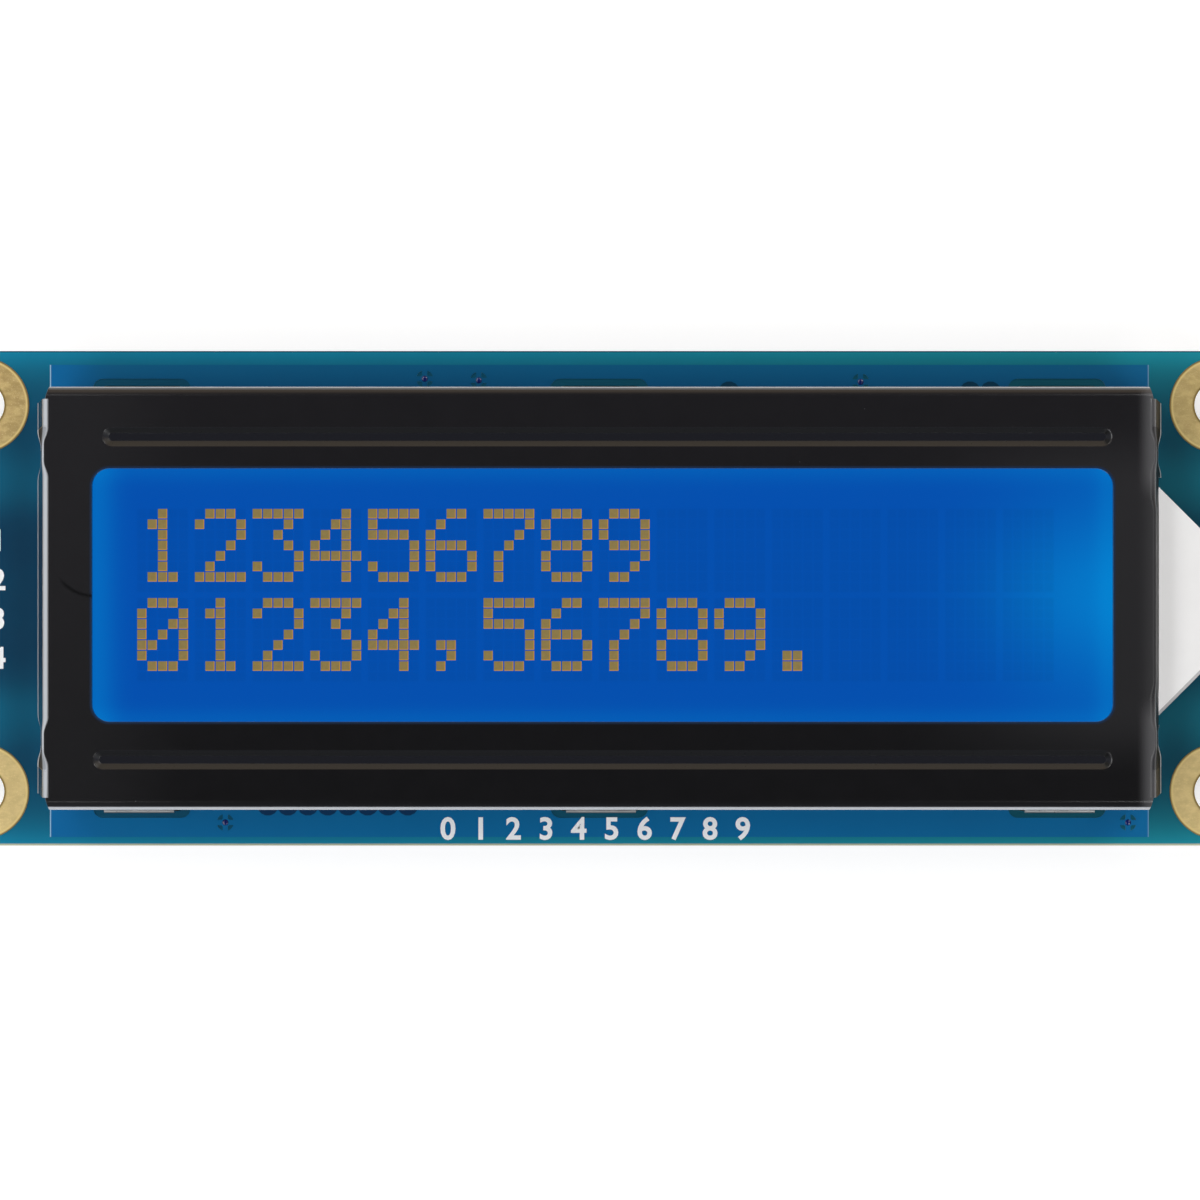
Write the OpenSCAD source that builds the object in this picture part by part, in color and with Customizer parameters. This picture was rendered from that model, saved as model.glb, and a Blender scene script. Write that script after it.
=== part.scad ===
// Character LCD module: 16 x 2 dot-matrix display on a printed circuit board.
//
// The board lies flat with the display facing +Z. The origin is the centre of the
// four mounting holes, on the rear face of the board, and everything is in millimetres.
// The display is a stack under a folded sheet-metal bezel: reflector, light guide,
// diffuser, glass cell with its two polarisers. Two elastomer strips join the glass to
// the board, and the bezel's tabs pass through slots and are folded over at the back.

/* [Board] */
// Length of the board
board_l = 87; // [86.5:0.5:92]
// Width of the board
board_w = 32; // [32:0.5:36]
// Thickness of the board over both copper layers
board_t = 1.6; // [1.0:0.1:2.0]
// Radius of the board's corners
board_r = 3; // [1:0.5:4]
// Thickness of each copper layer under its solder mask
copper_t = 0.04; // [0.03:0.01:0.08]

/* [Mounting holes] */
// Distance between the mounting holes along the board
hole_pitch_x = 80; // [79.6:0.1:80.4]
// Distance between the mounting holes across the board
hole_pitch_y = 25; // [24.6:0.1:25.4]
// Bore of each mounting hole inside its plating
hole_d = 3.0; // [2.2:0.1:3.4]
// Outer diameter of each plated ring
ring_d = 6.2; // [5:0.1:6.4]
// Wall of the plating inside a hole
plating_t = 0.05; // [0.03:0.01:0.08]

/* [Header holes] */
// Distance between neighbouring header holes
header_pitch = 2.54; // [2.3:0.01:2.6]
// Bore of each header hole inside its plating
header_d = 1.0; // [0.8:0.1:1.2]
// Diameter of each header pad
header_pad_d = 1.8; // [1.6:0.1:2.0]
// Distance from the board's edge to the header holes
header_inset = 1.5; // [1.2:0.1:1.7]

/* [Bezel] */
// Length of the bezel over its end bends
bezel_l = 70.5; // [69.5:0.1:70.8]
// Width of the bezel over its long bends
bezel_w = 26.8; // [26.4:0.1:27]
// Thickness of the bezel's sheet
sheet_t = 0.4; // [0.3:0.05:0.5]
// Outside radius of the two long bends
bend_r = 0.7; // [0.6:0.05:0.9]
// Outside radius of the end bends where the walls stand out
end_bend_r = 0.5; // [0.4:0.05:0.6]
// Outside radius of the end bends where the walls are pressed in
pressed_bend_r = 0.2; // [0.15:0.05:0.35]
// Outside radius of the end bend over the nose of the light guide
nose_bend_r = 0.3; // [0.2:0.05:0.4]
// How far the end walls flare out at the board
flare = 1.1; // [0.6:0.05:1.2]
// How far the pressed stretches of the end walls flare out
pressed_flare = 0.9; // [0.5:0.05:1.1]
// Length of the window
window_l = 64.5; // [62:0.1:65]
// Width of the window
window_w = 16; // [15:0.1:16.4]
// Radius of the window's corners
window_r = 1.1; // [0.5:0.1:2]
// Length of the lower pressed groove
groove_l = 64.4; // [58:0.2:66]
// How much shorter the upper groove is, at its left end
groove_short = 0.6; // [0:0.1:1]
// Distance from the centre line to each groove
groove_y = 10.2; // [10:0.1:10.4]
// Width of a groove at the face
groove_w = 1.25; // [1:0.05:1.5]
// Width of a groove's floor
groove_floor_w = 0.5; // [0.3:0.05:0.8]
// Distance between the fixing tabs along each long side
tab_pitch = 29.6; // [28:0.1:31]
// Width of a fixing tab
tab_w = 4.8; // [3:0.1:5]
// Length of the folded end of a tab
tab_leg = 2.2; // [1.5:0.1:2.6]
// How far a tab leans out of its wall on the way to its slot
tab_lean = 0.3; // [0:0.05:0.35]
// Room at each end of a tab in its slot
tab_gap = 0.3; // [0.2:0.05:0.4]

/* [Display cell] */
// Thickness of each glass plate
glass_t = 1.1; // [0.7:0.1:1.1]
// Room between the front glass and the bezel's walls
glass_gap = 0.3; // [0.2:0.05:0.5]
// Room between the elastomer strips and what lies between them
strip_gap = 0.2; // [0.1:0.05:0.4]
// Gap between the glass plates that holds the liquid crystal
cell_gap = 0.06; // [0.05:0.01:0.1]
// Width of the seal round the liquid crystal
seal_w = 0.6; // [0.4:0.05:0.8]
// Thickness of the front polariser
front_film_t = 0.24; // [0.2:0.01:0.3]
// Thickness of the rear polariser
rear_film_t = 0.2; // [0.15:0.01:0.25]
// Distance between neighbouring dots along a row
dot_pitch_x = 0.66; // [0.6:0.01:0.67]
// Distance between neighbouring rows of dots
dot_pitch_y = 0.67; // [0.6:0.01:0.67]
// Length of one dot
dot_l = 0.58; // [0.5:0.01:0.59]
// Width of one dot
dot_w = 0.6; // [0.5:0.01:0.6]
// Distance between neighbouring characters
char_pitch_x = 3.67; // [3.5:0.01:3.7]
// Distance between the two lines of characters
char_pitch_y = 5.67; // [5.5:0.01:5.8]

/* [Backlight] */
// Thickness of the light guide
guide_t = 2.5; // [2:0.1:3]
// Room between the nose and the bezel
nose_gap = 0.15; // [0.1:0.05:0.3]
// Thickness of the reflector and of the diffuser
film_t = 0.15; // [0.1:0.01:0.2]
// Distance from the centre to the tip of the light guide's nose
nose_x = 40.6; // [40.2:0.1:40.8]
// Width of the nose at its tip
nose_tip_w = 5.0; // [4.6:0.1:5.2]
// Distance from the centre line to the middle of the nose
nose_y = -0.2; // [-0.3:0.05:0.3]
// How far the white film stops short of the nose's lower edge
nose_film_inset = 0.3; // [0:0.05:0.4]
// Depth of the light source behind the nose
lamp_d = 1.8; // [1.5:0.1:2]
// Distance between the light source's leads
lamp_pitch = 1.27; // [1.1:0.01:1.3]

/* [Elastomer strips] */
// Width of each elastomer strip
strip_w = 2.0; // [1.6:0.1:2.1]
// Length of each elastomer strip
strip_l = 66; // [60:0.5:68]

/* [Cable socket] */
// Distance between neighbouring socket pins
pin_pitch = 2.0; // [1.5:0.1:2]
// Side of the square socket pins
pin_s = 0.5; // [0.4:0.05:0.6]
// Depth of the socket from its mouth to its back
socket_d = 7.6; // [7:0.1:8]
// Height of the socket off the board
socket_h = 5.5; // [5:0.1:6]
// Thickness of the socket's walls
socket_wall = 0.6; // [0.5:0.05:0.7]
// Distance from the board's edge to the socket's mouth
socket_inset = 2.9; // [2.6:0.1:4]

/* [Rear parts] */
// Radius of the epoxy dome over the display controller
dome_r = 6.5; // [5:0.1:7]
// Height of the epoxy dome
dome_h = 1.4; // [1:0.1:1.6]

/* [Hidden] */
$fn = 64;
eps = 0.01;

header_ways = 4;
socket_ways = 4;
lamp_ways = 4;

// Levels of the stack, from the board up
seat_z = board_t;
guide_z = seat_z + film_t;
diffuser_z = guide_z + guide_t;
rear_film_z = diffuser_z + film_t;
rear_glass_z = rear_film_z + rear_film_t;
cell_z = rear_glass_z + glass_t;
front_glass_z = cell_z + cell_gap;
front_film_z = front_glass_z + glass_t;
face_in_z = front_film_z + front_film_t;
face_z = face_in_z + sheet_t;
rib_depth = face_in_z - front_film_z;

// Plan sizes of the bezel that its walls, slots and tabs share
end_x = bezel_l / 2;
side_y = bezel_w / 2;
end_seam_inset = 0.9;
end_seam_x = end_x - end_seam_inset;
end_wall_inset = 0.8;
end_wall_y = side_y - end_wall_inset;
corner_inset = 0.25;
corner_x = end_x - corner_inset;
corner_slit = 0.02;
corner_cut = 0.2;
window_shift = [0.2, 0.2];
bend_steps = 6;
blend_l = 1.0;
// How far a shape that only cuts reaches past what it cuts
cut_reach = 1;

// Stretches of the end walls that are pressed in: middle, length, bend radius, flare at the board
left_pressed = [
    [-9.1, 2.1, pressed_bend_r, pressed_flare],
    [9.2, 2.1, pressed_bend_r, pressed_flare]
];
right_pressed = [
    [-9.0, 1.7, pressed_bend_r, pressed_flare],
    [0.1, 11.8, nose_bend_r, flare],
    [9.3, 1.8, pressed_bend_r, pressed_flare]
];

// Plan sizes of what lies under the bezel
glass_l = bezel_l - 2 * (sheet_t + glass_gap);
front_glass_w = bezel_w - 2 * (sheet_t + glass_gap);
stack_w = 2 * (groove_y - strip_w / 2 - strip_gap);

// Folded tabs and their slots
fold_r = 0.25;
tab_root_h = 1.4;
tab_fit = 0.05;
tab_xs = [-tab_pitch, 0, tab_pitch];
tab_out_y = side_y + tab_lean;
tab_fold_y = tab_out_y - sheet_t - fold_r;
fold_room = 0.4;
slot_in_y = tab_fold_y - fold_room;
slot_out_y = tab_out_y + tab_fit;
slot_l = tab_w + 2 * tab_gap;
slot_r = 0.4;
slot_clear = 0.45;
wall_notch = [0.3, 0.5];

// Copper under the solder mask
copper_edge = 0.15;
pad_clear = 0.2;
pour_margin = [0.6, 3.74];
pour_size = [bezel_l + pour_margin[0], bezel_w + pour_margin[1]];
pour_shift = [0, -0.17];
via_clear_r = 0.58;
via_y = side_y - 0.02;
via_pitch = 1.3;
low_vias = [for (i = [0:7]) [-21.45 + via_pitch * i, -via_y + 0.1]];
high_vias = [[8.4, via_y], [24.0, via_y], [24.0 + via_pitch, via_y]];
relief_vias = [
    [-24.2, -side_y - 1.1], [34.2, -side_y - 1.1],
    [-11.3, side_y + 0.8], [-7.8, side_y + 0.7], [16.9, side_y + 0.6]
];
relief_in_r = 0.3;
relief_out_r = 0.55;
relief_spoke = 0.34;

// Header, light source and socket positions
header_x = -board_l / 2 + header_inset;
lamp_lead_x = nose_x + lamp_d / 2;
lamp_lead = [0.25, 0.4];
lamp_hole_r = 0.3;
lamp_pad_r = 0.5;
lamp_tail = 0.9;
lamp_root = 0.6;
solder_h = 0.6;
nose_film_gap = 0.4;
nose_film_tip = 0.2;
socket_x = -board_l / 2 + socket_inset;
socket_end = 1.95;
socket_w = pin_pitch * (socket_ways - 1) + 2 * socket_end;
socket_floor = socket_h / 2;
pin_fit = 0.02;
pin_tip = 1.6;
pin_foot = 1.6;
pin_foot_t = 0.4;
socket_back_t = 1.6;
key_slot = [4.2, 1.2];
side_notch = [2.6, 1.2];
anchor_t = 0.3;
anchor_l = 3.2;
anchor_h = 3.0;
anchor_foot = 1.0;
anchor_gap = 0.4;

// Glass cell: the front polariser lies between the ribs under the two grooves
polariser_inset = 0.3;
polariser_gap = 0.15;
rib_extra = 0.5;
rib_floor_extra = 0.4;
front_polariser_w = 2 * (groove_y - (groove_w + rib_extra) / 2 - polariser_gap);
dot_t = 0.02;
matrix_shift = [-0.25, 0.2];
columns = 16;

// What the two lines show: plain counting digits
shown_lines = ["123456789", "01234,56789."];

// Dot patterns of the digits, five dots wide and seven high
digit_dots = [
    [".###.", "#...#", "#..##", "#.#.#", "##..#", "#...#", ".###."],
    ["..#..", ".##..", "..#..", "..#..", "..#..", "..#..", ".###."],
    [".###.", "#...#", "....#", "...#.", "..#..", ".#...", "#####"],
    ["#####", "...#.", "..#..", "...#.", "....#", "#...#", ".###."],
    ["...#.", "..##.", ".#.#.", "#..#.", "#####", "...#.", "...#."],
    ["#####", "#....", "####.", "....#", "....#", "#...#", ".###."],
    ["..##.", ".#...", "#....", "####.", "#...#", "#...#", ".###."],
    ["#####", "....#", "...#.", "..#..", ".#...", ".#...", ".#..."],
    [".###.", "#...#", "#...#", ".###.", "#...#", "#...#", ".###."],
    [".###.", "#...#", "#...#", ".####", "....#", "...#.", ".##.."]
];
comma_dots = [".....", ".....", ".....", ".....", ".##..", "..#..", ".#..."];
point_dots = [".....", ".....", ".....", ".....", ".....", ".##..", ".##.."];

// Rear parts: body sizes, leads on the two sides, their pitch, width and span
driver_body = [5, 4.4, 1];
driver_leads = [8, 8];
driver_lead = [0.65, 0.25, 6.4];
regulator_body = [2.9, 1.6, 1.1];
regulator_leads = [3, 2];
regulator_lead = [0.95, 0.4, 2.8];
shifter_body = [2.9, 1.3, 1];
shifter_leads = [1, 2];
shifter_lead = [1.9, 0.4, 2.4];
chip_stand = 0.1;
chip_lead_t = 0.15;
resistor_size = [1.6, 0.8, 0.45];
resistor_cap = 0.3;
capacitor_size = [2, 1.25, 0.85];
capacitor_cap = 0.4;
cap_t = 0.03;
knee_share = 0.4;

// Rear parts: the middle of each. The power parts keep their distance from the socket,
// the lamp's resistors theirs from the lamp, and the rest stands round the dome and the driver.
socket_back = socket_x + socket_d;
dome_at = [6, 0];
driver_at = [-13, 0];
regulator_at = [socket_back + 7.5, 8];
shifter_at = [[socket_back + 7.5, 1.5], [socket_back + 7.5, -3.5]];
resistor_at = concat(
    [for (y = [6.5, 4.5, -4.5, -6.5]) [socket_back + 12.5, y]],
    [for (side = [1, -1]) [lamp_lead_x - 6.5, side * 3]]
);
capacitor_at = concat(
    [[socket_back + 3.5, 5]],
    [for (side = [1, -1]) [driver_at[0], side * 7.5]],
    [for (side = [1, -1]) [dome_at[0] + dome_r + 5.5, side * 4]]
);

mount_names = ["left_top", "left_bottom", "right_top", "right_bottom"];
mount_at = [for (sx = [-1, 1], sy = [1, -1]) [sx * hole_pitch_x / 2, sy * hole_pitch_y / 2]];

// ---------------------------------------------------------------- helpers

// A flat rectangle with round corners, centred
module round_rect(size, r) {
    square([size[0] - 2 * r, size[1]], center = true);
    square([size[0], size[1] - 2 * r], center = true);
    for (sx = [-1, 1], sy = [-1, 1])
        translate([sx * (size[0] / 2 - r), sy * (size[1] / 2 - r)]) circle(r);
}

// A plate of that height with its lower face at z
module plate(size, z, h, r = 0, at = [0, 0]) {
    translate([at[0], at[1], z]) linear_extrude(h) {
        if (r > 0) round_rect(size, r);
        else square(size, center = true);
    }
}

// Turns a part that stands on z = 0 over, so that it hangs under the board
module on_rear(at = [0, 0], turn = 0) {
    translate([at[0], at[1], 0]) rotate([180, 0, turn]) children();
}

// A plated hole: one ring on each side of the board and the barrel that joins them
module plated_hole(bore_r, pad_r) {
    rotate_extrude() polygon([
        [bore_r, 0], [pad_r, 0], [pad_r, copper_t], [bore_r + plating_t, copper_t],
        [bore_r + plating_t, board_t - copper_t], [pad_r, board_t - copper_t],
        [pad_r, board_t], [bore_r, board_t]
    ]);
}

// The outline of one tab slot, grown all round by that much
module slot_outline(x, side, grow = 0) {
    translate([x, side * (slot_in_y + slot_out_y) / 2])
        round_rect([slot_l + 2 * grow, slot_out_y - slot_in_y + 2 * grow], slot_r + grow / 2);
}

function header_y(i) = header_pitch * ((header_ways - 1) / 2 - i);
function lamp_y(i) = nose_y + lamp_pitch * ((lamp_ways - 1) / 2 - i);
function socket_y(i) = pin_pitch * ((socket_ways - 1) / 2 - i);

// ---------------------------------------------------------------- board

// The glass-fibre laminate with its holes and slots
module circuit_board() {
    color("#12506e")
    translate([0, 0, copper_t]) linear_extrude(board_t - 2 * copper_t) difference() {
        round_rect([board_l, board_w], board_r);
        for (at = mount_at) translate(at) circle(hole_d / 2 + plating_t);
        for (i = [0:header_ways - 1]) translate([header_x, header_y(i)]) circle(header_d / 2 + plating_t);
        for (i = [0:lamp_ways - 1]) translate([lamp_lead_x, lamp_y(i)]) circle(lamp_hole_r + plating_t);
        for (x = tab_xs, side = [-1, 1]) slot_outline(x, side);
    }
}

// The gap in the copper round a via that is joined to it by four spokes
module relief_gap() {
    difference() {
        circle(relief_out_r);
        circle(relief_in_r);
        square([2 * relief_out_r + eps, relief_spoke], center = true);
        square([relief_spoke, 2 * relief_out_r + eps], center = true);
    }
}

// The ground copper under the display, which the solder mask covers
module front_copper() {
    color("#125b8a")
    translate([0, 0, board_t - copper_t]) linear_extrude(copper_t) difference() {
        translate(pour_shift) square(pour_size, center = true);
        for (x = tab_xs, side = [-1, 1]) slot_outline(x, side, slot_clear);
        for (at = concat(low_vias, high_vias)) translate(at) circle(via_clear_r);
        for (at = relief_vias) translate(at) relief_gap();
    }
}

// The stretch without copper round a mounting hole, which runs out to the board's corner
module bare_corner(r, outward) {
    circle(r);
    translate(outward * (r - pad_clear)) square(2 * r, center = true);
}

// The ground copper on the back of the board
module rear_copper() {
    color("#0f5580")
    linear_extrude(copper_t) difference() {
        round_rect([board_l - 2 * copper_edge, board_w - 2 * copper_edge], board_r - copper_edge);
        for (at = mount_at) translate(at) bare_corner(ring_d / 2 + pad_clear, [sign(at[0]), sign(at[1])]);
        for (i = [0:header_ways - 1]) translate([header_x, header_y(i)]) circle(header_pad_d / 2 + pad_clear);
        for (i = [0:lamp_ways - 1]) translate([lamp_lead_x, lamp_y(i)]) circle(lamp_pad_r + pad_clear);
        for (x = tab_xs, side = [-1, 1]) slot_outline(x, side, slot_clear);
    }
}

module mount_ring(i) {
    color("#b39a62") translate(mount_at[i]) plated_hole(hole_d / 2, ring_d / 2);
}

module header_pad(i) {
    color("#b39a62") translate([header_x, header_y(i)]) plated_hole(header_d / 2, header_pad_d / 2);
}

// ---------------------------------------------------------------- bezel

function ease(t) = let (c = min(1, max(0, t))) c * c * (3 - 2 * c);

// 1 in the middle of a pressed stretch, 0 outside it, with a smooth change at its ends
function pressed_at(y, zone) = ease((zone[1] / 2 - abs(y - zone[0])) / blend_l + 0.5);

// A value of the end wall at one place: its plain value, changed by the pressed stretches there
function along(y, zones, plain, k, i = 0) =
    i == len(zones) ? plain :
    along(y, zones, plain, k, i + 1) + pressed_at(y, zones[i]) * (zones[i][k] - plain);

// Cross-section of an end wall: from the inner corner over the seam, round the bend and down to the board
function end_section(y, zones) =
    let (r = along(y, zones, end_bend_r, 2), out = along(y, zones, flare, 3))
    concat(
        [[end_x - sheet_t, face_in_z], [end_seam_x, face_in_z], [end_seam_x, face_z]],
        [for (k = [0:bend_steps]) let (a = 90 - 90 * k / bend_steps)
            [end_x - r + r * cos(a), face_z - r + r * sin(a)]],
        [[end_x + out, seat_z], [end_x + out - sheet_t, seat_z]]
    );

// Puts a short list of numbers in rising order
function sorted(v) = len(v) < 2 ? v :
    let (m = v[floor(len(v) / 2)])
    concat(sorted([for (a = v) if (a < m) a]), [m], sorted([for (a = v) if (a > m) a]));

// Places across the board where a section is drawn: the wall's ends, and the ends of each pressed stretch
function end_stations(zones) = sorted(concat(
    [-end_wall_y, end_wall_y],
    [for (z = zones, side = [-1, 1], k = [-3:3]) z[0] + side * z[1] / 2 + k * blend_l / 6]
));

// One folded end wall, as a skin over its sections
module end_wall(zones) {
    ys = end_stations(zones);
    sections = [for (y = ys) [for (q = end_section(y, zones)) [q[0], y, q[1]]]];
    n = len(sections[0]);
    last = len(ys) - 1;
    polyhedron(
        points = [for (s = sections) for (q = s) q],
        faces = concat(
            [for (s = [0:last - 1], k = [0:n - 1]) let (m = (k + 1) % n)
                [s * n + k, (s + 1) * n + m, s * n + m]],
            [for (s = [0:last - 1], k = [0:n - 1]) let (m = (k + 1) % n)
                [s * n + k, (s + 1) * n + k, (s + 1) * n + m]],
            [[for (k = [0:n - 1]) k]],
            [[for (k = [0:n - 1]) last * n + (n - k) % n]]
        ),
        convexity = 6
    );
}

// The face and the two long walls with their bends, as one folded channel along the board
module channel_profile() {
    h = face_z - seat_z;
    difference() {
        union() {
            translate([-side_y, 0]) square([bezel_w, h - bend_r]);
            translate([-side_y + bend_r, 0]) square([bezel_w - 2 * bend_r, h]);
            for (side = [-1, 1]) translate([side * (side_y - bend_r), h - bend_r]) circle(bend_r);
        }
        translate([-side_y + sheet_t, -cut_reach]) square([bezel_w - 2 * sheet_t, h - bend_r + cut_reach]);
        translate([-side_y + bend_r, -cut_reach]) square([bezel_w - 2 * bend_r, h - sheet_t + cut_reach]);
        for (side = [-1, 1]) translate([side * (side_y - bend_r), h - bend_r]) circle(bend_r - sheet_t);
    }
}

module channel() {
    translate([0, 0, seat_z]) rotate([90, 0, 90])
        linear_extrude(2 * corner_x, center = true) channel_profile();
}

// A long pressed bar with sloping sides and round ends, wide at its upper face
module pressed_bar(top_w, floor_w, top_l, depth) {
    straight = top_l - top_w;
    rotate([90, 0, 90]) linear_extrude(straight, center = true)
        polygon([[-top_w / 2, 0], [-floor_w / 2, -depth], [floor_w / 2, -depth], [top_w / 2, 0]]);
    for (turn = [0, 180]) rotate([0, 0, turn]) translate([straight / 2, 0, 0])
        rotate([0, 0, -90]) rotate_extrude(angle = 180)
            polygon([[0, 0], [0, -depth], [floor_w / 2, -depth], [top_w / 2, 0]]);
}

// One groove, or the rib under it: both keep the same right end
module groove_bar(side, top_w, floor_w, extra, z) {
    short = side > 0 ? groove_short : 0;
    translate([window_shift[0] + short / 2, side * groove_y, z])
        pressed_bar(top_w, floor_w, groove_l - short + extra, rib_depth + eps);
}

// The side view of a fixing tab: it leans out of the wall, passes the board and folds in along its back
module tab_profile() {
    root_z = seat_z + tab_root_h;
    polygon([
        [side_y - sheet_t, root_z], [side_y, root_z], [tab_out_y, seat_z], [tab_out_y, fold_r],
        [tab_out_y - sheet_t, fold_r], [tab_out_y - sheet_t, seat_z]
    ]);
    intersection() {
        translate([tab_fold_y, fold_r]) difference() {
            circle(fold_r + sheet_t);
            circle(fold_r);
        }
        translate([tab_fold_y, -sheet_t]) square(fold_r + sheet_t);
    }
    translate([tab_fold_y - tab_leg, -sheet_t]) square([tab_leg, sheet_t]);
}

module fixing_tab(x, side) {
    translate([x, 0, 0]) mirror([0, side < 0 ? 1 : 0, 0])
        rotate([90, 0, 90]) linear_extrude(tab_w, center = true) tab_profile();
}

// What a tab leaves open in its wall: the lanced stretch itself and a notch at each side of it
module tab_opening(x, side) {
    translate([x, side * side_y, seat_z - cut_reach]) {
        translate([-tab_w / 2, -cut_reach, 0]) cube([tab_w, 2 * cut_reach, tab_root_h + cut_reach]);
        translate([-tab_w / 2 - wall_notch[0], -cut_reach, 0])
            cube([tab_w + 2 * wall_notch[0], 2 * cut_reach, wall_notch[1] + cut_reach]);
    }
}

// The plan of one open corner, where the end wall and the long wall don't meet
module corner_relief() {
    out_x = end_x + flare + cut_reach;
    out_y = side_y + cut_reach;
    polygon([
        [corner_x - corner_slit, end_wall_y + corner_slit], [out_x, end_wall_y + corner_slit],
        [out_x, out_y], [corner_x - corner_cut, out_y], [corner_x - corner_cut, side_y],
        [corner_x - corner_slit, side_y - bend_r]
    ]);
}

// The hole in the right end wall that the light guide's nose comes out of
module nose_hole() {
    half = guide_half(end_x) + nose_gap;
    top_z = diffuser_z + film_t + nose_gap;
    translate([end_seam_x, nose_y - half, seat_z - cut_reach])
        cube([end_seam_inset + flare + cut_reach, 2 * half, top_z - seat_z + cut_reach]);
}

module bezel() {
    color("#1d1d20") difference() {
        union() {
            difference() {
                channel();
                for (side = [-1, 1]) translate([side * (end_seam_x + face_z), 0, face_z])
                    cube([2 * face_z, 2 * end_wall_y, 4 * face_z], center = true);
                for (x = tab_xs, side = [-1, 1]) tab_opening(x, side);
            }
            end_wall(right_pressed);
            mirror([1, 0, 0]) end_wall(left_pressed);
            for (side = [-1, 1]) groove_bar(
                side, groove_w + rib_extra, groove_floor_w + rib_floor_extra, rib_extra, face_in_z + eps
            );
            for (x = tab_xs, side = [-1, 1]) fixing_tab(x, side);
        }
        plate([window_l, window_w], face_in_z - cut_reach, sheet_t + 2 * cut_reach, window_r, window_shift);
        for (side = [-1, 1]) groove_bar(side, groove_w, groove_floor_w, 0, face_z + eps);
        for (turn = [0, 180], side = [0, 1]) rotate([0, 0, turn]) mirror([0, side, 0])
            translate([0, 0, seat_z - cut_reach]) linear_extrude(face_z - seat_z + 2 * cut_reach) corner_relief();
        nose_hole();
    }
}

// ---------------------------------------------------------------- display cell

module front_polariser() {
    color("#0a4fae") plate([glass_l - 2 * polariser_inset, front_polariser_w], front_film_z, front_film_t);
}

module front_glass() {
    color("#bcd8e6", 0.5) plate([glass_l, front_glass_w], front_glass_z, glass_t);
}

module rear_glass() {
    color("#bcd8e6", 0.5) plate([glass_l, stack_w], rear_glass_z, glass_t);
}

module cell_seal() {
    color("#d8d2c0") translate([0, 0, cell_z]) linear_extrude(cell_gap) difference() {
        square([glass_l, stack_w], center = true);
        square([glass_l - 2 * seal_w, stack_w - 2 * seal_w], center = true);
    }
}

module liquid_crystal() {
    color("#0352b4") plate([glass_l - 2 * seal_w, stack_w - 2 * seal_w], cell_z, cell_gap - dot_t);
}

module rear_polariser() {
    size = [glass_l - 2 * polariser_inset, stack_w - 2 * polariser_inset];
    color("#3a5f96") plate(size, rear_film_z, rear_film_t);
}

// The dots of one character, drawn from its upper left corner
module character(rows) {
    for (r = [0:len(rows) - 1], c = [0:4])
        if (rows[r][c] == "#")
            translate([c * dot_pitch_x, -r * dot_pitch_y - dot_w, 0]) cube([dot_l, dot_w, dot_t]);
}

function dots_of(ch) = ch == "," ? comma_dots : ch == "." ? point_dots : digit_dots[ord(ch) - ord("0")];

// Every dot that is switched on
module lit_dots() {
    x0 = matrix_shift[0] - (char_pitch_x * (columns - 1) + dot_pitch_x * 4 + dot_l) / 2;
    y0 = matrix_shift[1] + (char_pitch_y + dot_pitch_y * 7 + dot_w) / 2;
    color("#8c7848")
    for (line = [0, 1], i = [0:len(shown_lines[line]) - 1])
        translate([x0 + i * char_pitch_x, y0 - line * char_pitch_y, front_glass_z - dot_t])
            character(dots_of(shown_lines[line][i]));
}

// Strip of conducting and insulating rubber between the glass and the board
module elastomer_strip(side) {
    color("#3c3c3e") plate([strip_l, strip_w], seat_z, front_glass_z - seat_z, 0, [0, side * groove_y]);
}

// ---------------------------------------------------------------- backlight

// Half the width of the light guide's nose at a place along the board: it narrows at 45 degrees
function guide_half(x) = nose_tip_w / 2 + (nose_x - x);

// Where the nose begins at the guide's upper edge (side 1) or lower edge (side -1)
function shoulder_x(side) = nose_x + nose_tip_w / 2 + side * nose_y - stack_w / 2;

guide_back_x = -glass_l / 2;
guide_body_x = min(shoulder_x(-1), shoulder_x(1));

module guide_outline() {
    polygon([
        [guide_back_x, -stack_w / 2], [shoulder_x(-1), -stack_w / 2], [nose_x, nose_y - nose_tip_w / 2],
        [nose_x, nose_y + nose_tip_w / 2], [shoulder_x(1), stack_w / 2], [guide_back_x, stack_w / 2]
    ]);
}

module light_guide() {
    color("#eef2f4", 0.7) translate([0, 0, guide_z]) linear_extrude(guide_t) guide_outline();
}

module reflector_film() {
    color("#f4f4f2") translate([0, 0, seat_z]) linear_extrude(film_t) guide_outline();
}

module diffuser_film() {
    color("#f2f4f6") translate([guide_back_x, -stack_w / 2, diffuser_z])
        cube([guide_body_x - guide_back_x, stack_w, film_t]);
}

// The white film over the nose and the light source
module nose_film() {
    back_x = guide_body_x + nose_film_gap;
    tip_x = nose_x + lamp_d + nose_film_tip;
    high = nose_tip_w / 2;
    low = nose_film_inset - high;
    color("#e6e6e6") translate([0, nose_y, diffuser_z]) linear_extrude(film_t) polygon([
        [back_x, nose_film_inset - guide_half(back_x)], [nose_x, low], [tip_x, low],
        [tip_x, high], [nose_x, high], [back_x, guide_half(back_x)]
    ]);
}

// One straight lead, from inside the light source through the board
module lamp_lead_shape(i) {
    translate([lamp_lead_x - lamp_lead[0] / 2, lamp_y(i) - lamp_lead[1] / 2, -lamp_tail])
        cube([lamp_lead[0], lamp_lead[1], lamp_tail + seat_z + lamp_root]);
}

// The three-colour light source at the tip of the nose
module colour_lamp() {
    color("#f0efe9") difference() {
        translate([nose_x, nose_y - nose_tip_w / 2, seat_z]) cube([lamp_d, nose_tip_w, diffuser_z - seat_z]);
        for (i = [0:lamp_ways - 1]) lamp_lead_shape(i);
    }
}

module lamp_lead_pin(i) {
    color("#c8c8c6") lamp_lead_shape(i);
}

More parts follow.
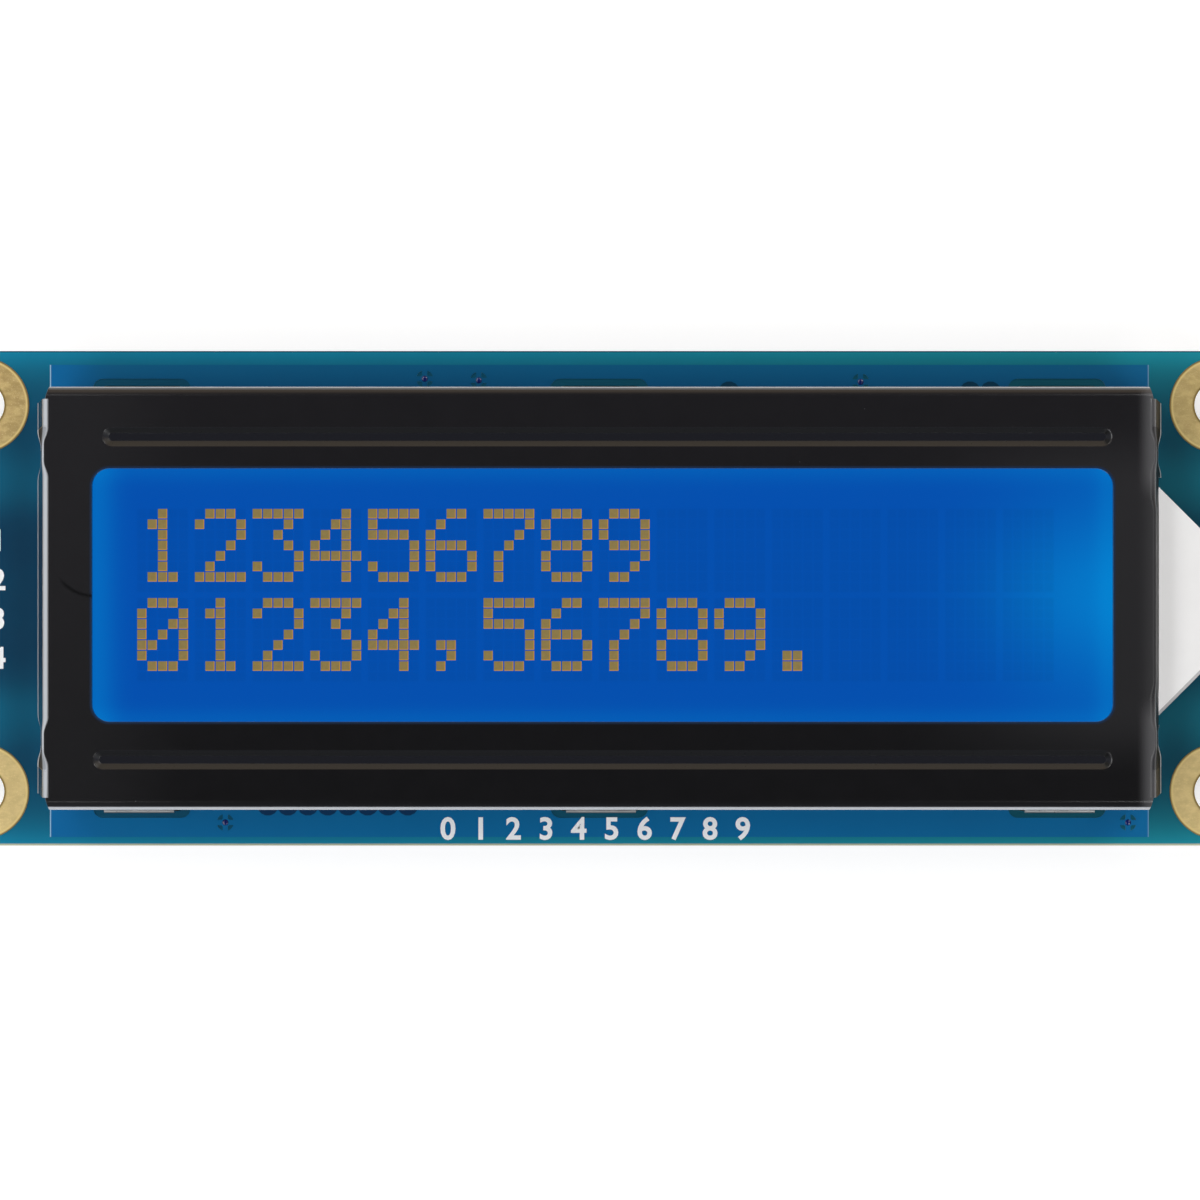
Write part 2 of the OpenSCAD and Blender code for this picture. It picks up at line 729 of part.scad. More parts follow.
module lamp_pads() {
    color("#b39a62") for (i = [0:lamp_ways - 1])
        translate([lamp_lead_x, lamp_y(i)]) plated_hole(lamp_hole_r, lamp_pad_r);
}

// A cone of solder round each lead at the back
module lamp_solder() {
    color("#c2c4c6") for (i = [0:lamp_ways - 1]) difference() {
        on_rear([lamp_lead_x, lamp_y(i)]) cylinder(r1 = lamp_pad_r, r2 = lamp_hole_r, h = solder_h);
        lamp_lead_shape(i);
    }
}

// ---------------------------------------------------------------- cable socket

// One bent pin, standing on the board: along the socket, down behind it and out along its pad
module socket_pin_shape(i, grow = 0) {
    s = pin_s + 2 * grow;
    translate([0, socket_y(i), 0]) {
        translate([socket_x + pin_tip, -s / 2, socket_floor - s / 2])
            cube([socket_d + pin_s - pin_tip, s, s]);
        translate([socket_back, -s / 2, 0]) cube([pin_s, s, socket_floor]);
        translate([socket_back, -s / 2, 0]) cube([pin_foot, s, pin_foot_t]);
    }
}

module socket_pin(i) {
    color("#c9b98a") on_rear() socket_pin_shape(i);
}

// The moulded housing: open at the mouth, with two key slots in the wall away from the board
module socket_housing() {
    cavity = [socket_d - socket_back_t, socket_w - 2 * socket_wall, socket_h - 2 * socket_wall];
    color("#f1efe8") on_rear() difference() {
        translate([socket_x, -socket_w / 2, 0]) cube([socket_d, socket_w, socket_h]);
        translate([socket_x - cut_reach, 0, 0]) {
            translate([0, -cavity[1] / 2, socket_wall]) cube([cavity[0] + cut_reach, cavity[1], cavity[2]]);
            for (i = [0, socket_ways - 1]) translate([0, socket_y(i) - key_slot[1] / 2, socket_floor])
                cube([key_slot[0] + cut_reach, key_slot[1], socket_h]);
            translate([0, -socket_w / 2 - cut_reach, socket_floor - side_notch[1] / 2])
                cube([side_notch[0] + cut_reach, socket_w + 2 * cut_reach, side_notch[1]]);
        }
        for (i = [0:socket_ways - 1]) socket_pin_shape(i, pin_fit);
    }
}

// A soldered strap on the side of the housing
module socket_anchor(side) {
    color("#c8c8c6") on_rear() mirror([0, side < 0 ? 1 : 0, 0])
        translate([socket_x + side_notch[0] + anchor_gap, socket_w / 2, 0]) {
            cube([anchor_l, anchor_t, anchor_h]);
            cube([anchor_l, anchor_foot, anchor_t]);
        }
}

// ---------------------------------------------------------------- rear parts

// The epoxy dome that seals the display controller
module controller_dome() {
    ball_r = (dome_r * dome_r + dome_h * dome_h) / (2 * dome_h);
    color("#141414") on_rear(dome_at) intersection() {
        translate([0, 0, dome_h - ball_r]) sphere(ball_r, $fn = 96);
        cylinder(r = dome_r + cut_reach, h = dome_h + cut_reach);
    }
}

// A moulded chip package with bent leads on two sides; lead is their pitch, width and span
module leaded_chip(body, leads, lead) {
    w = lead[1];
    reach = (lead[2] - body[1]) / 2;
    knee = reach * knee_share;
    mid_z = chip_stand + body[2] / 2;
    translate([-body[0] / 2, -body[1] / 2, chip_stand]) cube(body);
    for (side = [0, 1]) rotate([0, 0, side * 180]) for (i = [0:leads[side] - 1])
        translate([(i - (leads[side] - 1) / 2) * lead[0] - w / 2, body[1] / 2, 0]) {
            translate([0, -chip_stand, mid_z - chip_lead_t / 2]) cube([w, chip_stand + knee, chip_lead_t]);
            translate([0, knee - chip_lead_t, 0]) cube([w, chip_lead_t, mid_z + chip_lead_t / 2]);
            translate([0, knee - chip_lead_t, 0]) cube([w, reach - knee + chip_lead_t, chip_lead_t]);
        }
}

module lamp_driver() {
    color("#202022") on_rear(driver_at, 90) leaded_chip(driver_body, driver_leads, driver_lead);
}

module regulator() {
    color("#202022") on_rear(regulator_at) leaded_chip(regulator_body, regulator_leads, regulator_lead);
}

module level_shifter(i) {
    color("#202022") on_rear(shifter_at[i]) leaded_chip(shifter_body, shifter_leads, shifter_lead);
}

// A chip resistor or capacitor: a block with a thicker metal cap on each end
module chip_part(size, cap_l) {
    body = [size[0] - 2 * cap_l, size[1] - 2 * cap_t, size[2] - 2 * cap_t];
    translate([0, 0, size[2] / 2]) {
        cube(body, center = true);
        for (side = [-1, 1]) translate([side * (size[0] - cap_l) / 2, 0, 0])
            cube([cap_l, size[1], size[2]], center = true);
    }
}

module resistor(i) {
    color("#2a2a2c") on_rear(resistor_at[i]) chip_part(resistor_size, resistor_cap);
}

module capacitor(i) {
    color("#a98a63") on_rear(capacitor_at[i]) chip_part(capacitor_size, capacitor_cap);
}

// ---------------------------------------------------------------- nodes

circuit_board();
front_copper();
rear_copper();
for (i = [0:3]) mount_ring(i);
for (i = [0:header_ways - 1]) header_pad(i);
bezel();
front_polariser();
front_glass();
lit_dots();
liquid_crystal();
cell_seal();
rear_glass();
rear_polariser();
elastomer_strip(1);  // upper_elastomer_strip
elastomer_strip(-1);  // lower_elastomer_strip
diffuser_film();
light_guide();
reflector_film();
nose_film();
colour_lamp();
for (i = [0:lamp_ways - 1]) lamp_lead_pin(i);
lamp_pads();
lamp_solder();
socket_housing();
for (i = [0:socket_ways - 1]) socket_pin(i);
socket_anchor(1);  // socket_anchor_top
socket_anchor(-1);  // socket_anchor_bottom
controller_dome();
lamp_driver();
regulator();
for (i = [0:1]) level_shifter(i);
for (i = [0:len(resistor_at) - 1]) resistor(i);
for (i = [0:len(capacitor_at) - 1]) capacitor(i);
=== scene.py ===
# %% [markdown]
# # A character display module
#
# The construction is already done: a circuit board, a folded steel bezel, a glass
# display cell and its backlight, all at real size. This notebook gives that frame
# its looks. It loads the solids, makes one node material for each finish, and adds
# what construction leaves out: printed numerals, tracks, solder and the fine grid
# of the display. Lengths are in metres, so small values carry the factor MM.

# %% Load the frame
import math
import bmesh
import bpy
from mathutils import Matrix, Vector


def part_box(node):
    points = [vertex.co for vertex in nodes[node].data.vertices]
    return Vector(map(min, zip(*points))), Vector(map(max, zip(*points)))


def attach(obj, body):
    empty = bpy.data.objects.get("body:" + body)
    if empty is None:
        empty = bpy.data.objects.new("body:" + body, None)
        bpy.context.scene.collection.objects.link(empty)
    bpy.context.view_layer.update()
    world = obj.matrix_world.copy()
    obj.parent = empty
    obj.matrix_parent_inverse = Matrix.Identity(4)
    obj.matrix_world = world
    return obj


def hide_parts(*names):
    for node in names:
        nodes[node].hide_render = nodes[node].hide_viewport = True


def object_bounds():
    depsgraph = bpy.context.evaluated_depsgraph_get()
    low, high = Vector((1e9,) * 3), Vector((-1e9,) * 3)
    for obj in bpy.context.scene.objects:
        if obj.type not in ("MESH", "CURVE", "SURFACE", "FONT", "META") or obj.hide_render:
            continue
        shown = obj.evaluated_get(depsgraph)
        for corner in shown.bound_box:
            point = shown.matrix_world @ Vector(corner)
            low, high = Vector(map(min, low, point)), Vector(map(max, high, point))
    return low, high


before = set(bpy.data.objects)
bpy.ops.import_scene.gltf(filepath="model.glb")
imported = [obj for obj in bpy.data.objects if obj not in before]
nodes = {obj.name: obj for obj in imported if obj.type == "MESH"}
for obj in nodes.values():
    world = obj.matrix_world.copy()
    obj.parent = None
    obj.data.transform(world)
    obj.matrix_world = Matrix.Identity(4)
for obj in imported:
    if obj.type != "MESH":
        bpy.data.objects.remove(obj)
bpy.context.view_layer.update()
MM = 0.001


def box_mm(name):
    """A solid's lowest and highest corner in millimetres."""
    return [[v / MM for v in corner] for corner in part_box(name)]


# %% [markdown]
# ## Camera
#
# The module is looked at from straight above, close enough that the perspective
# shows in the walls of the bezel. Such a view could be made with an orthographic
# camera, but then the walls would vanish. A long lens near the board keeps them.

# %% Camera over the board
board_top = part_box("front_copper")[1][2]
camera_height = 245 * MM
camera = bpy.data.objects.new("camera", bpy.data.cameras.new("camera"))
camera.location = (0.04 * MM, -0.11 * MM, board_top + camera_height)
camera.data.sensor_width = 36
camera.data.lens = 113.6
camera.data.clip_start = 10 * MM
bpy.context.collection.objects.link(camera)
bpy.context.scene.camera = camera
print("camera height over the board, mm:", round(camera_height / MM))

# %% [markdown]
# ## Words for node trees
#
# Materials are node trees, and a tree is easier to read when adding a node takes
# one line. These few helpers add a node, set or link its sockets by name, and turn
# a colour as a painter writes it, 0 to 255, into the linear values that light uses.
# A socket knows its own tree, so sums, blends and steps need only their values.

# %% Helpers for shader nodes
def linear(r, g, b):
    """An sRGB colour of 0 to 255 as linear RGBA."""
    def one(c):
        c /= 255
        return c / 12.92 if c <= 0.04045 else ((c + 0.055) / 1.055) ** 2.4
    return (one(r), one(g), one(b), 1.0)


def feed(socket, value):
    """Links a socket to another, or sets it to a plain value."""
    if isinstance(value, bpy.types.NodeSocket):
        socket.id_data.links.new(value, socket)
    else:
        socket.default_value = value


def tree_of(*values):
    """The node tree that the sockets among those values belong to."""
    return next(v.id_data for v in values if isinstance(v, bpy.types.NodeSocket))


def add(tree, kind, sockets=None, **settings):
    """Adds a node of that kind, with its settings and its sockets by name or number."""
    node = tree.nodes.new(kind)
    for name, value in settings.items():
        setattr(node, name, value)
    for key, value in (sockets or {}).items():
        feed(node.inputs[key], value)
    return node


def math_of(operation, *values):
    """The result of a Math node."""
    return add(tree_of(*values), "ShaderNodeMath", dict(enumerate(values)), operation=operation).outputs[0]


def plus(first, second):
    return math_of("ADD", first, second)


def minus(first, second):
    return math_of("SUBTRACT", first, second)


def times(first, second):
    return math_of("MULTIPLY", first, second)


def higher(first, second):
    return math_of("MAXIMUM", first, second)


def scaled(value, factor, offset):
    return math_of("MULTIPLY_ADD", value, factor, offset)


def mix_of(amount, first, second):
    """The blend of two colours, each one a socket, linear RGBA or an sRGB colour of 0 to 255."""
    node = add(tree_of(amount, first, second), "ShaderNodeMix", data_type="RGBA")
    feed(node.inputs["Factor"], amount)
    for key, colour in ((6, first), (7, second)):
        srgb = isinstance(colour, tuple) and len(colour) == 3
        feed(node.inputs[key], linear(*colour) if srgb else colour)
    return node.outputs[2]


def smooth_step(value, low, high):
    """0 below low, 1 above high, and a smooth change between them."""
    node = add(tree_of(value), "ShaderNodeMapRange", {"Value": value, "From Min": low, "From Max": high})
    node.interpolation_type = "SMOOTHSTEP"
    return node.outputs["Result"]


def bell(value, centre, width):
    """1 at the centre, falling off on both sides like a bell curve."""
    away = math_of("DIVIDE", minus(value, centre), width)
    return math_of("EXPONENT", times(times(away, away), -1.0))


def far_from(x, y):
    """How far a point lies from the origin of those two coordinates."""
    return math_of("SQRT", plus(times(x, x), times(y, y)))


def centred(value, centre=0.0):
    """The distance of one coordinate from a centre, always positive."""
    return math_of("ABSOLUTE", minus(value, centre))


def place_mm(tree):
    """The x, y and z of a point of the piece, in millimetres."""
    where = add(tree, "ShaderNodeTexCoord").outputs["Object"]
    in_mm = add(tree, "ShaderNodeVectorMath", {0: where, "Scale": 1 / MM}, operation="SCALE").outputs[0]
    return add(tree, "ShaderNodeSeparateXYZ", {0: in_mm}).outputs


def facing(tree):
    """The x, y and z of the surface's own direction."""
    normal = add(tree, "ShaderNodeNewGeometry").outputs["Normal"]
    return add(tree, "ShaderNodeSeparateXYZ", {0: normal}).outputs


print("helpers ready")

# %% [markdown]
# ## Effects that several finishes share
#
# Nearly every surface here has a fine grain, and the black steel, the board and
# the film all carry a little dust. Each effect is one node group with named
# inputs, built once. A group gives only values; each material decides what they
# change, so the same grain can roughen paint and shade plastic.

# %% Node groups: grain and dust
def group(name, inputs, outputs):
    """A new shader group with float inputs and outputs, and the sockets of its two end nodes."""
    tree = bpy.data.node_groups.new(name, "ShaderNodeTree")
    for label, value in inputs.items():
        tree.interface.new_socket(label, in_out="INPUT", socket_type="NodeSocketFloat").default_value = value
    for label in outputs:
        tree.interface.new_socket(label, in_out="OUTPUT", socket_type="NodeSocketFloat")
    return tree, tree.nodes.new("NodeGroupInput").outputs, tree.nodes.new("NodeGroupOutput").inputs


COARSER = 12.0
BUMP_STRENGTH = 0.5


def make_grain():
    """Fine and coarse noise, both about 0.5 in the middle. Size is the fine grain in mm."""
    tree, given, result = group("grain", {"Size": 0.1, "Stretch": 1.0}, ["Fine", "Coarse"])
    where = add(tree, "ShaderNodeTexCoord").outputs["Object"]
    stretch = add(tree, "ShaderNodeCombineXYZ", {0: given["Stretch"], 1: 1.0, 2: 1.0}).outputs[0]
    where = add(tree, "ShaderNodeVectorMath", {0: where, 1: stretch}, operation="MULTIPLY").outputs[0]
    fine_scale = math_of("DIVIDE", 1 / MM, given["Size"])
    coarse_scale = math_of("DIVIDE", fine_scale, COARSER)
    for label, scale, detail in (("Fine", fine_scale, 2.0), ("Coarse", coarse_scale, 3.0)):
        noise = add(tree, "ShaderNodeTexNoise", {"Vector": where, "Scale": scale, "Detail": detail})
        feed(result[label], noise.outputs["Fac"])
    return tree


def make_dust():
    """Scattered specks: 1 on a speck, 0 elsewhere. Spacing is the mean distance in mm."""
    tree, given, result = group("dust", {"Spacing": 2.0, "Speck": 0.04}, ["Mask"])
    where = add(tree, "ShaderNodeTexCoord").outputs["Object"]
    scale = math_of("DIVIDE", 1 / MM, given["Spacing"])
    cells = add(tree, "ShaderNodeTexVoronoi", {"Vector": where, "Scale": scale, "Randomness": 1.0})
    size = add(tree, "ShaderNodeSeparateColor", {0: cells.outputs["Color"]}).outputs[0]
    radius = times(size, math_of("DIVIDE", given["Speck"], given["Spacing"]))
    feed(result["Mask"], math_of("LESS_THAN", cells.outputs["Distance"], radius))
    return tree


GRAIN = make_grain()
DUST = make_dust()


def placed(tree, shared, values=None):
    """The outputs of a shared group, placed in a material."""
    return add(tree, "ShaderNodeGroup", values, node_tree=shared).outputs


def grain(tree, size, stretch=1.0):
    return placed(tree, GRAIN, {"Size": size, "Stretch": stretch})


def dust(tree, spacing, speck):
    return placed(tree, DUST, {"Spacing": spacing, "Speck": speck})["Mask"]


def material(name, roughness, specular=0.5, **constants):
    """A material, its tree and the inputs of its Principled shader, with the constants set on them."""
    made = bpy.data.materials.new(name)
    made.use_nodes = True
    look = made.node_tree.nodes["Principled BSDF"].inputs
    look["Roughness"].default_value = roughness
    look["Specular IOR Level"].default_value = specular
    for label, value in constants.items():
        look[label.replace("_", " ")].default_value = value
    return made, made.node_tree, look


def bump(look, height, depth_mm):
    """Raises the surface by a height of 0 to 1 times that depth."""
    sockets = {"Height": height, "Strength": BUMP_STRENGTH, "Distance": depth_mm * MM}
    feed(look["Normal"], add(tree_of(height), "ShaderNodeBump", sockets).outputs["Normal"])


def grained(name, dark, light, grain_mm, roughness, rough_range=0.0, depth_mm=0.0, **constants):
    """Two tones blended by the coarse grain, with uneven roughness and small bumps where asked."""
    made, tree, look = material(name, roughness, **constants)
    noise = grain(tree, grain_mm)
    feed(look["Base Color"], mix_of(noise["Coarse"], dark, light))
    if rough_range:
        feed(look["Roughness"], scaled(noise["Fine"], rough_range, roughness))
    if depth_mm:
        bump(look, noise["Fine"], depth_mm)
    return made


def dress(made, *names):
    """Gives a material to every slot of those solids."""
    for name in names:
        for slot in nodes[name].material_slots:
            slot.material = made


def numbered(stem, count):
    """Names such as pin_1, pin_2."""
    return [f"{stem}_{i + 1}" for i in range(count)]


print("shared groups:", GRAIN.name, "and", DUST.name)

# %% [markdown]
# ## The circuit board
#
# A board is glass-fibre laminate under a thin coloured lacquer, the solder mask.
# Where copper lies under the mask it looks bluer and smoother; bare laminate shows
# through it greener. The cut edges are raw laminate, pale and layered. One material
# does both by asking which way the surface faces: up or down is mask, sideways is
# the raw edge, with layers drawn by a wave along its thickness.

# %% Board finishes
half_l, half_w = box_mm("circuit_board")[1][:2]
pour_l, pour_w = box_mm("front_copper")[1][:2]
LAYER_WAVES = 26.0
LIGHT_REACH = 2.0
WARP = 0.6
WEFT = 0.45


def raw_laminate(tree, z):
    """The layered look of a cut edge of glass-fibre laminate."""
    layer = math_of("SINE", times(z, LAYER_WAVES))
    fibre = grain(tree, 0.12, 0.35)["Fine"]
    amount = plus(times(layer, 0.25), fibre)
    return mix_of(amount, (92, 104, 72), (176, 172, 124))


def make_board_light():
    """How much light is painted into the mask as if it shone up through the laminate: 0 over copper or a
    part, 1 at a bare edge, with a little painted light in the rows of slots.
    """
    tree, _, result = group("board_light", {}, ["Light"])
    x, y = place_mm(tree)[:2]
    rim_x = minus(half_l, centred(x))
    rim_y = minus(half_w, centred(y))
    past_socket = smooth_step(centred(y), 4.6, 7.0)
    glow_x = times(math_of("EXPONENT", math_of("DIVIDE", rim_x, -LIGHT_REACH)), past_socket)
    glow_y = math_of("EXPONENT", math_of("DIVIDE", rim_y, -LIGHT_REACH))
    bare = higher(smooth_step(centred(x), pour_l - 0.3, pour_l),
                   smooth_step(centred(y), pour_w - 0.3, pour_w))
    lobes = times(bell(centred(y), 7.6, 2.1), 0.25)
    total = plus(higher(glow_x, glow_y), lobes)
    # Painted light in the rows of slots, which lie in the bezel's shade.
    slots = times(smooth_step(centred(y), 13.2, 13.6), 0.2)
    light = times(minus(total, slots), bare)
    feed(result["Light"], plus(light, slots))
    return tree


BOARD_LIGHT = make_board_light()


def mask_finish(name, weave_depth, tone):
    """Solder mask in a tone worked out from place and grain, with raw laminate at the cut edges."""
    made, tree, look = material(name, 0.32, 0.25)
    x, y, z = place_mm(tree)
    noise = grain(tree, 0.35)
    lacquer = tone(tree, x, y, noise["Coarse"])
    lacquer = mix_of(dust(tree, 2.6, 0.04), lacquer, (96, 140, 156))
    flat = smooth_step(math_of("ABSOLUTE", facing(tree)[2]), 0.4, 0.6)
    feed(look["Base Color"], mix_of(flat, raw_laminate(tree, z), lacquer))
    rough = scaled(noise["Fine"], 0.1, 0.15)
    rough = higher(rough, minus(0.8, flat))
    feed(look["Roughness"], rough)
    warp = math_of("SINE", times(x, math.tau / WARP))
    weft = math_of("SINE", times(y, math.tau / WEFT))
    weave = scaled(times(warp, weft), 0.5, 0.5)
    bump(look, plus(weave, noise["Fine"]), weave_depth)
    return made


def bare_tone(tree, x, y, coarse):
    """Mask over laminate: a dark copy inside the board and a lit teal copy where painted light stands for
    light coming through it.
    """
    light = placed(tree, BOARD_LIGHT)["Light"]
    light = plus(light, scaled(coarse, 0.12, -0.06))
    right = smooth_step(x, -30.0, 30.0)
    # Shaded and lit copies of the lacquer, blended by the painted light.
    dark = mix_of(right, (14, 58, 86), (12, 58, 78))
    lit = mix_of(right, (20, 126, 160), (26, 134, 152))
    lacquer = mix_of(light, dark, lit)
    lacquer = mix_of(smooth_step(y, half_w - 0.12, half_w - 0.04), lacquer, (10, 70, 92))
    return mix_of(smooth_step(y, 0.16 - half_w, 0.09 - half_w), lacquer, (176, 180, 156))


def copper_tone(tree, x, y, coarse):
    """Mask over copper: a fuller blue, with painted shade over the upper half that deepens next to the bezel,
    painted light at the left end, and a pale line along each end of the pour, stronger on the left.
    """
    # Painted shade on the upper half, darkest next to the bezel, and painted light at the left end.
    upper = mix_of(smooth_step(y, 13.4, 15.0), (12, 83, 128), (16, 94, 138))
    tone = mix_of(smooth_step(y, -2.0, 2.0), (12, 104, 158), upper)
    tone = mix_of(smooth_step(x, -31.0, -35.0), tone, (14, 102, 160))
    tone = mix_of(times(coarse, 0.25), tone, (10, 80, 128))
    side = scaled(smooth_step(x, 10.0, -10.0), 0.5, 0.35)
    edge = times(bell(centred(x), pour_l - 0.03, 0.04), side)
    return mix_of(edge, tone, (168, 204, 226))


def rear_tone(tree, x, y, coarse):
    """Mask over the copper of the rear side, which is one even field."""
    return mix_of(coarse, (10, 84, 132), (14, 98, 150))


dress(mask_finish("mask_on_laminate", 0.0015, bare_tone), "circuit_board")
dress(mask_finish("mask_on_copper", 0.001, copper_tone), "front_copper")
rear_mask = mask_finish("mask_on_rear_copper", 0.001, rear_tone)
dress(rear_mask, "rear_copper")
print("board dressed")

# %% [markdown]
# ## Gold rings and pads
#
# The plated holes are copper with a breath of gold on nickel. The film is so thin
# that the grain of the copper stays visible, so the rings look satin, not polished.
# A full metal with even roughness would mirror the ceiling like a coin; a brushed
# roughness from the grain group breaks that up.

# %% Gold plating
def gold_finish():
    made, tree, look = material("gold_plating", 0.4, Metallic=0.55)
    x, y = place_mm(tree)[:2]
    low, high = box_mm("mount_ring_right_top")
    ring_x, ring_y = ((low[a] + high[a]) / 2 for a in (0, 1))
    ring_r = (high[0] - low[0]) / 2
    away = far_from(centred(centred(x), ring_x), centred(centred(y), ring_y))
    fine = grain(tree, 0.07)
    blots = grain(tree, 0.03, 0.6)
    streaks = grain(tree, 0.05, 6.0)
    tone = mix_of(smooth_step(blots["Coarse"], 0.3, 0.7), (162, 138, 86), (192, 168, 112))
    tone = mix_of(smooth_step(fine["Coarse"], 0.5, 0.75), tone, (168, 142, 92))
    tone = mix_of(smooth_step(fine["Fine"], 0.6, 0.72), tone, (214, 196, 146))
    tone = mix_of(smooth_step(streaks["Fine"], 0.68, 0.8), tone, (226, 208, 158))
    # Painted light: the lower rings paler and the upper right ring lighter.
    lower_painted_light = times(smooth_step(y, 20.0, -20.0), 0.42)
    tone = mix_of(lower_painted_light, tone, (232, 212, 152))
    upper_right_painted_light = times(smooth_step(x, 10.0, 30.0), smooth_step(y, 0.0, 12.0))
    tone = mix_of(times(upper_right_painted_light, 0.25), tone, (196, 180, 122))
    # Painted highlight just inside the outer rim, and painted shade as dark lines at the outer and the inner
    # rim.
    tone = mix_of(bell(away, ring_r - 0.16, 0.06), tone, (214, 192, 128))
    tone = mix_of(bell(away, ring_r - 0.03, 0.06), tone, (118, 100, 48))
    tone = mix_of(bell(away, ring_r - 1.55, 0.08), tone, (120, 98, 42))
    feed(look["Base Color"], tone)
    feed(look["Roughness"], scaled(fine["Fine"], 0.35, 0.34))
    height = plus(blots["Coarse"], times(fine["Fine"], 0.5))
    bump(look, height, 0.012)
    return made


rings = [f"mount_ring_{side}_{end}" for side in ("left", "right") for end in ("top", "bottom")]
dress(gold_finish(), "lamp_pads", *rings, *numbered("header_pad", 4))
print("plated holes dressed")

# %% [markdown]
# ## The bezel
#
# The bezel is one sheet of steel, painted satin black, then stamped and folded, so
# its cut edges are bare. Its solid has the true form but knife-sharp edges, and a
# real stamping has none: light always catches on a small round. The shape could be
# modelled again by hand, but a copy of the solid is exact already. It is welded,
# its coplanar triangles are joined, and a Bevel modifier rounds every sharp edge.

# %% Finished copy of the bezel
def welded_copy(name, piece_name):
    """A copy of a solid as one closed skin, with its flat faces joined."""
    mesh = nodes[name].data.copy()
    skin = bmesh.new()
    skin.from_mesh(mesh)
    bmesh.ops.remove_doubles(skin, verts=skin.verts, dist=0.001 * MM)
    bmesh.ops.dissolve_limit(skin, angle_limit=math.radians(0.5), verts=skin.verts, edges=skin.edges)
    skin.to_mesh(mesh)
    skin.free()
    mesh.materials.clear()
    piece = bpy.data.objects.new(piece_name, mesh)
    bpy.context.collection.objects.link(piece)
    return piece


def round_edges(piece, width, segments, sharp_degrees):
    """Rounds the edges sharper than that angle and shades the rest smooth."""
    rounding = piece.modifiers.new("rounded edges", "BEVEL")
    rounding.width = width
    rounding.segments = segments
    rounding.limit_method = "ANGLE"
    rounding.angle_limit = math.radians(sharp_degrees)
    rounding.use_clamp_overlap = True
    rounding.miter_outer = "MITER_ARC"
    piece.data.shade_smooth()
    even = piece.modifiers.new("even flats", "WEIGHTED_NORMAL")
    even.keep_sharp = True


def bake_modifiers(piece):
    """Replaces a piece's mesh by what its modifiers make of it."""
    view = bpy.context.evaluated_depsgraph_get()
    made = bpy.data.meshes.new_from_object(piece.evaluated_get(view))
    piece.modifiers.clear()
    piece.data = made
    return len(made.polygons)


bezel = welded_copy("bezel", "bezel_finished")
round_edges(bezel, width=0.07 * MM, segments=3, sharp_degrees=28)
print("bezel faces:", bake_modifiers(bezel))

# %% [markdown]
# ### Satin black paint with bare edges
#
# Paint over steel is a dark, slightly rough coat. Its grain is a faint orange peel,
# and the bare steel shows where the sheet was cut, at the foot of the end walls,
# where its bright band is partly a painted reflection of the floor. The bright
# bands along the folds are painted highlights in the colour of bare steel, the
# right end walls carry painted shade, and the face carries painted light towards
# its top, its ends and its lugs. Masks made from the place and from the way the
# surface faces pick those out, so no extra piece is needed. The pressed grooves and
# the rim of the window have masks of their own: the grooves get painted light and
# shade on their walls, and the rim a painted reflection of the display's blue.

# %% Bezel finish
WINDOW_CENTRE = 0.2
WINDOW_L = 32.25
WINDOW_W = 8.0
WINDOW_R = 1.1
GROOVE_Y = 10.2
FOLD_H = 0.6
FOOT_H = 1.1
END_X = 34.0
bezel_top = box_mm("bezel")[1][2]
top_mm = board_top / MM


def make_window_rim():
    """1 at the rim of the bezel's window, 0 a little away from it."""
    tree, _, result = group("window_rim", {}, ["Rim"])
    x, y = place_mm(tree)[:2]
    out_x = higher(minus(centred(x, WINDOW_CENTRE), WINDOW_L - WINDOW_R), 0.0)
    out_y = higher(minus(centred(y, WINDOW_CENTRE), WINDOW_W - WINDOW_R), 0.0)
    away = minus(far_from(out_x, out_y), WINDOW_R)
    feed(result["Rim"], minus(1.0, smooth_step(away, 0.06, 0.2)))
    return tree


def make_groove_mask():
    """1 on the pressed grooves of the face, 0 on the flat face round them."""
    tree, _, result = group("groove", {}, ["Groove"])
    y, z = place_mm(tree)[1:]
    across = smooth_step(centred(centred(y), GROOVE_Y), 0.72, 0.6)
    sunk = smooth_step(z, bezel_top - 0.01, bezel_top - 0.06)
    feed(result["Groove"], times(across, sunk))
    return tree


WINDOW_RIM_REFLECTION = make_window_rim()
GROOVE = make_groove_mask()


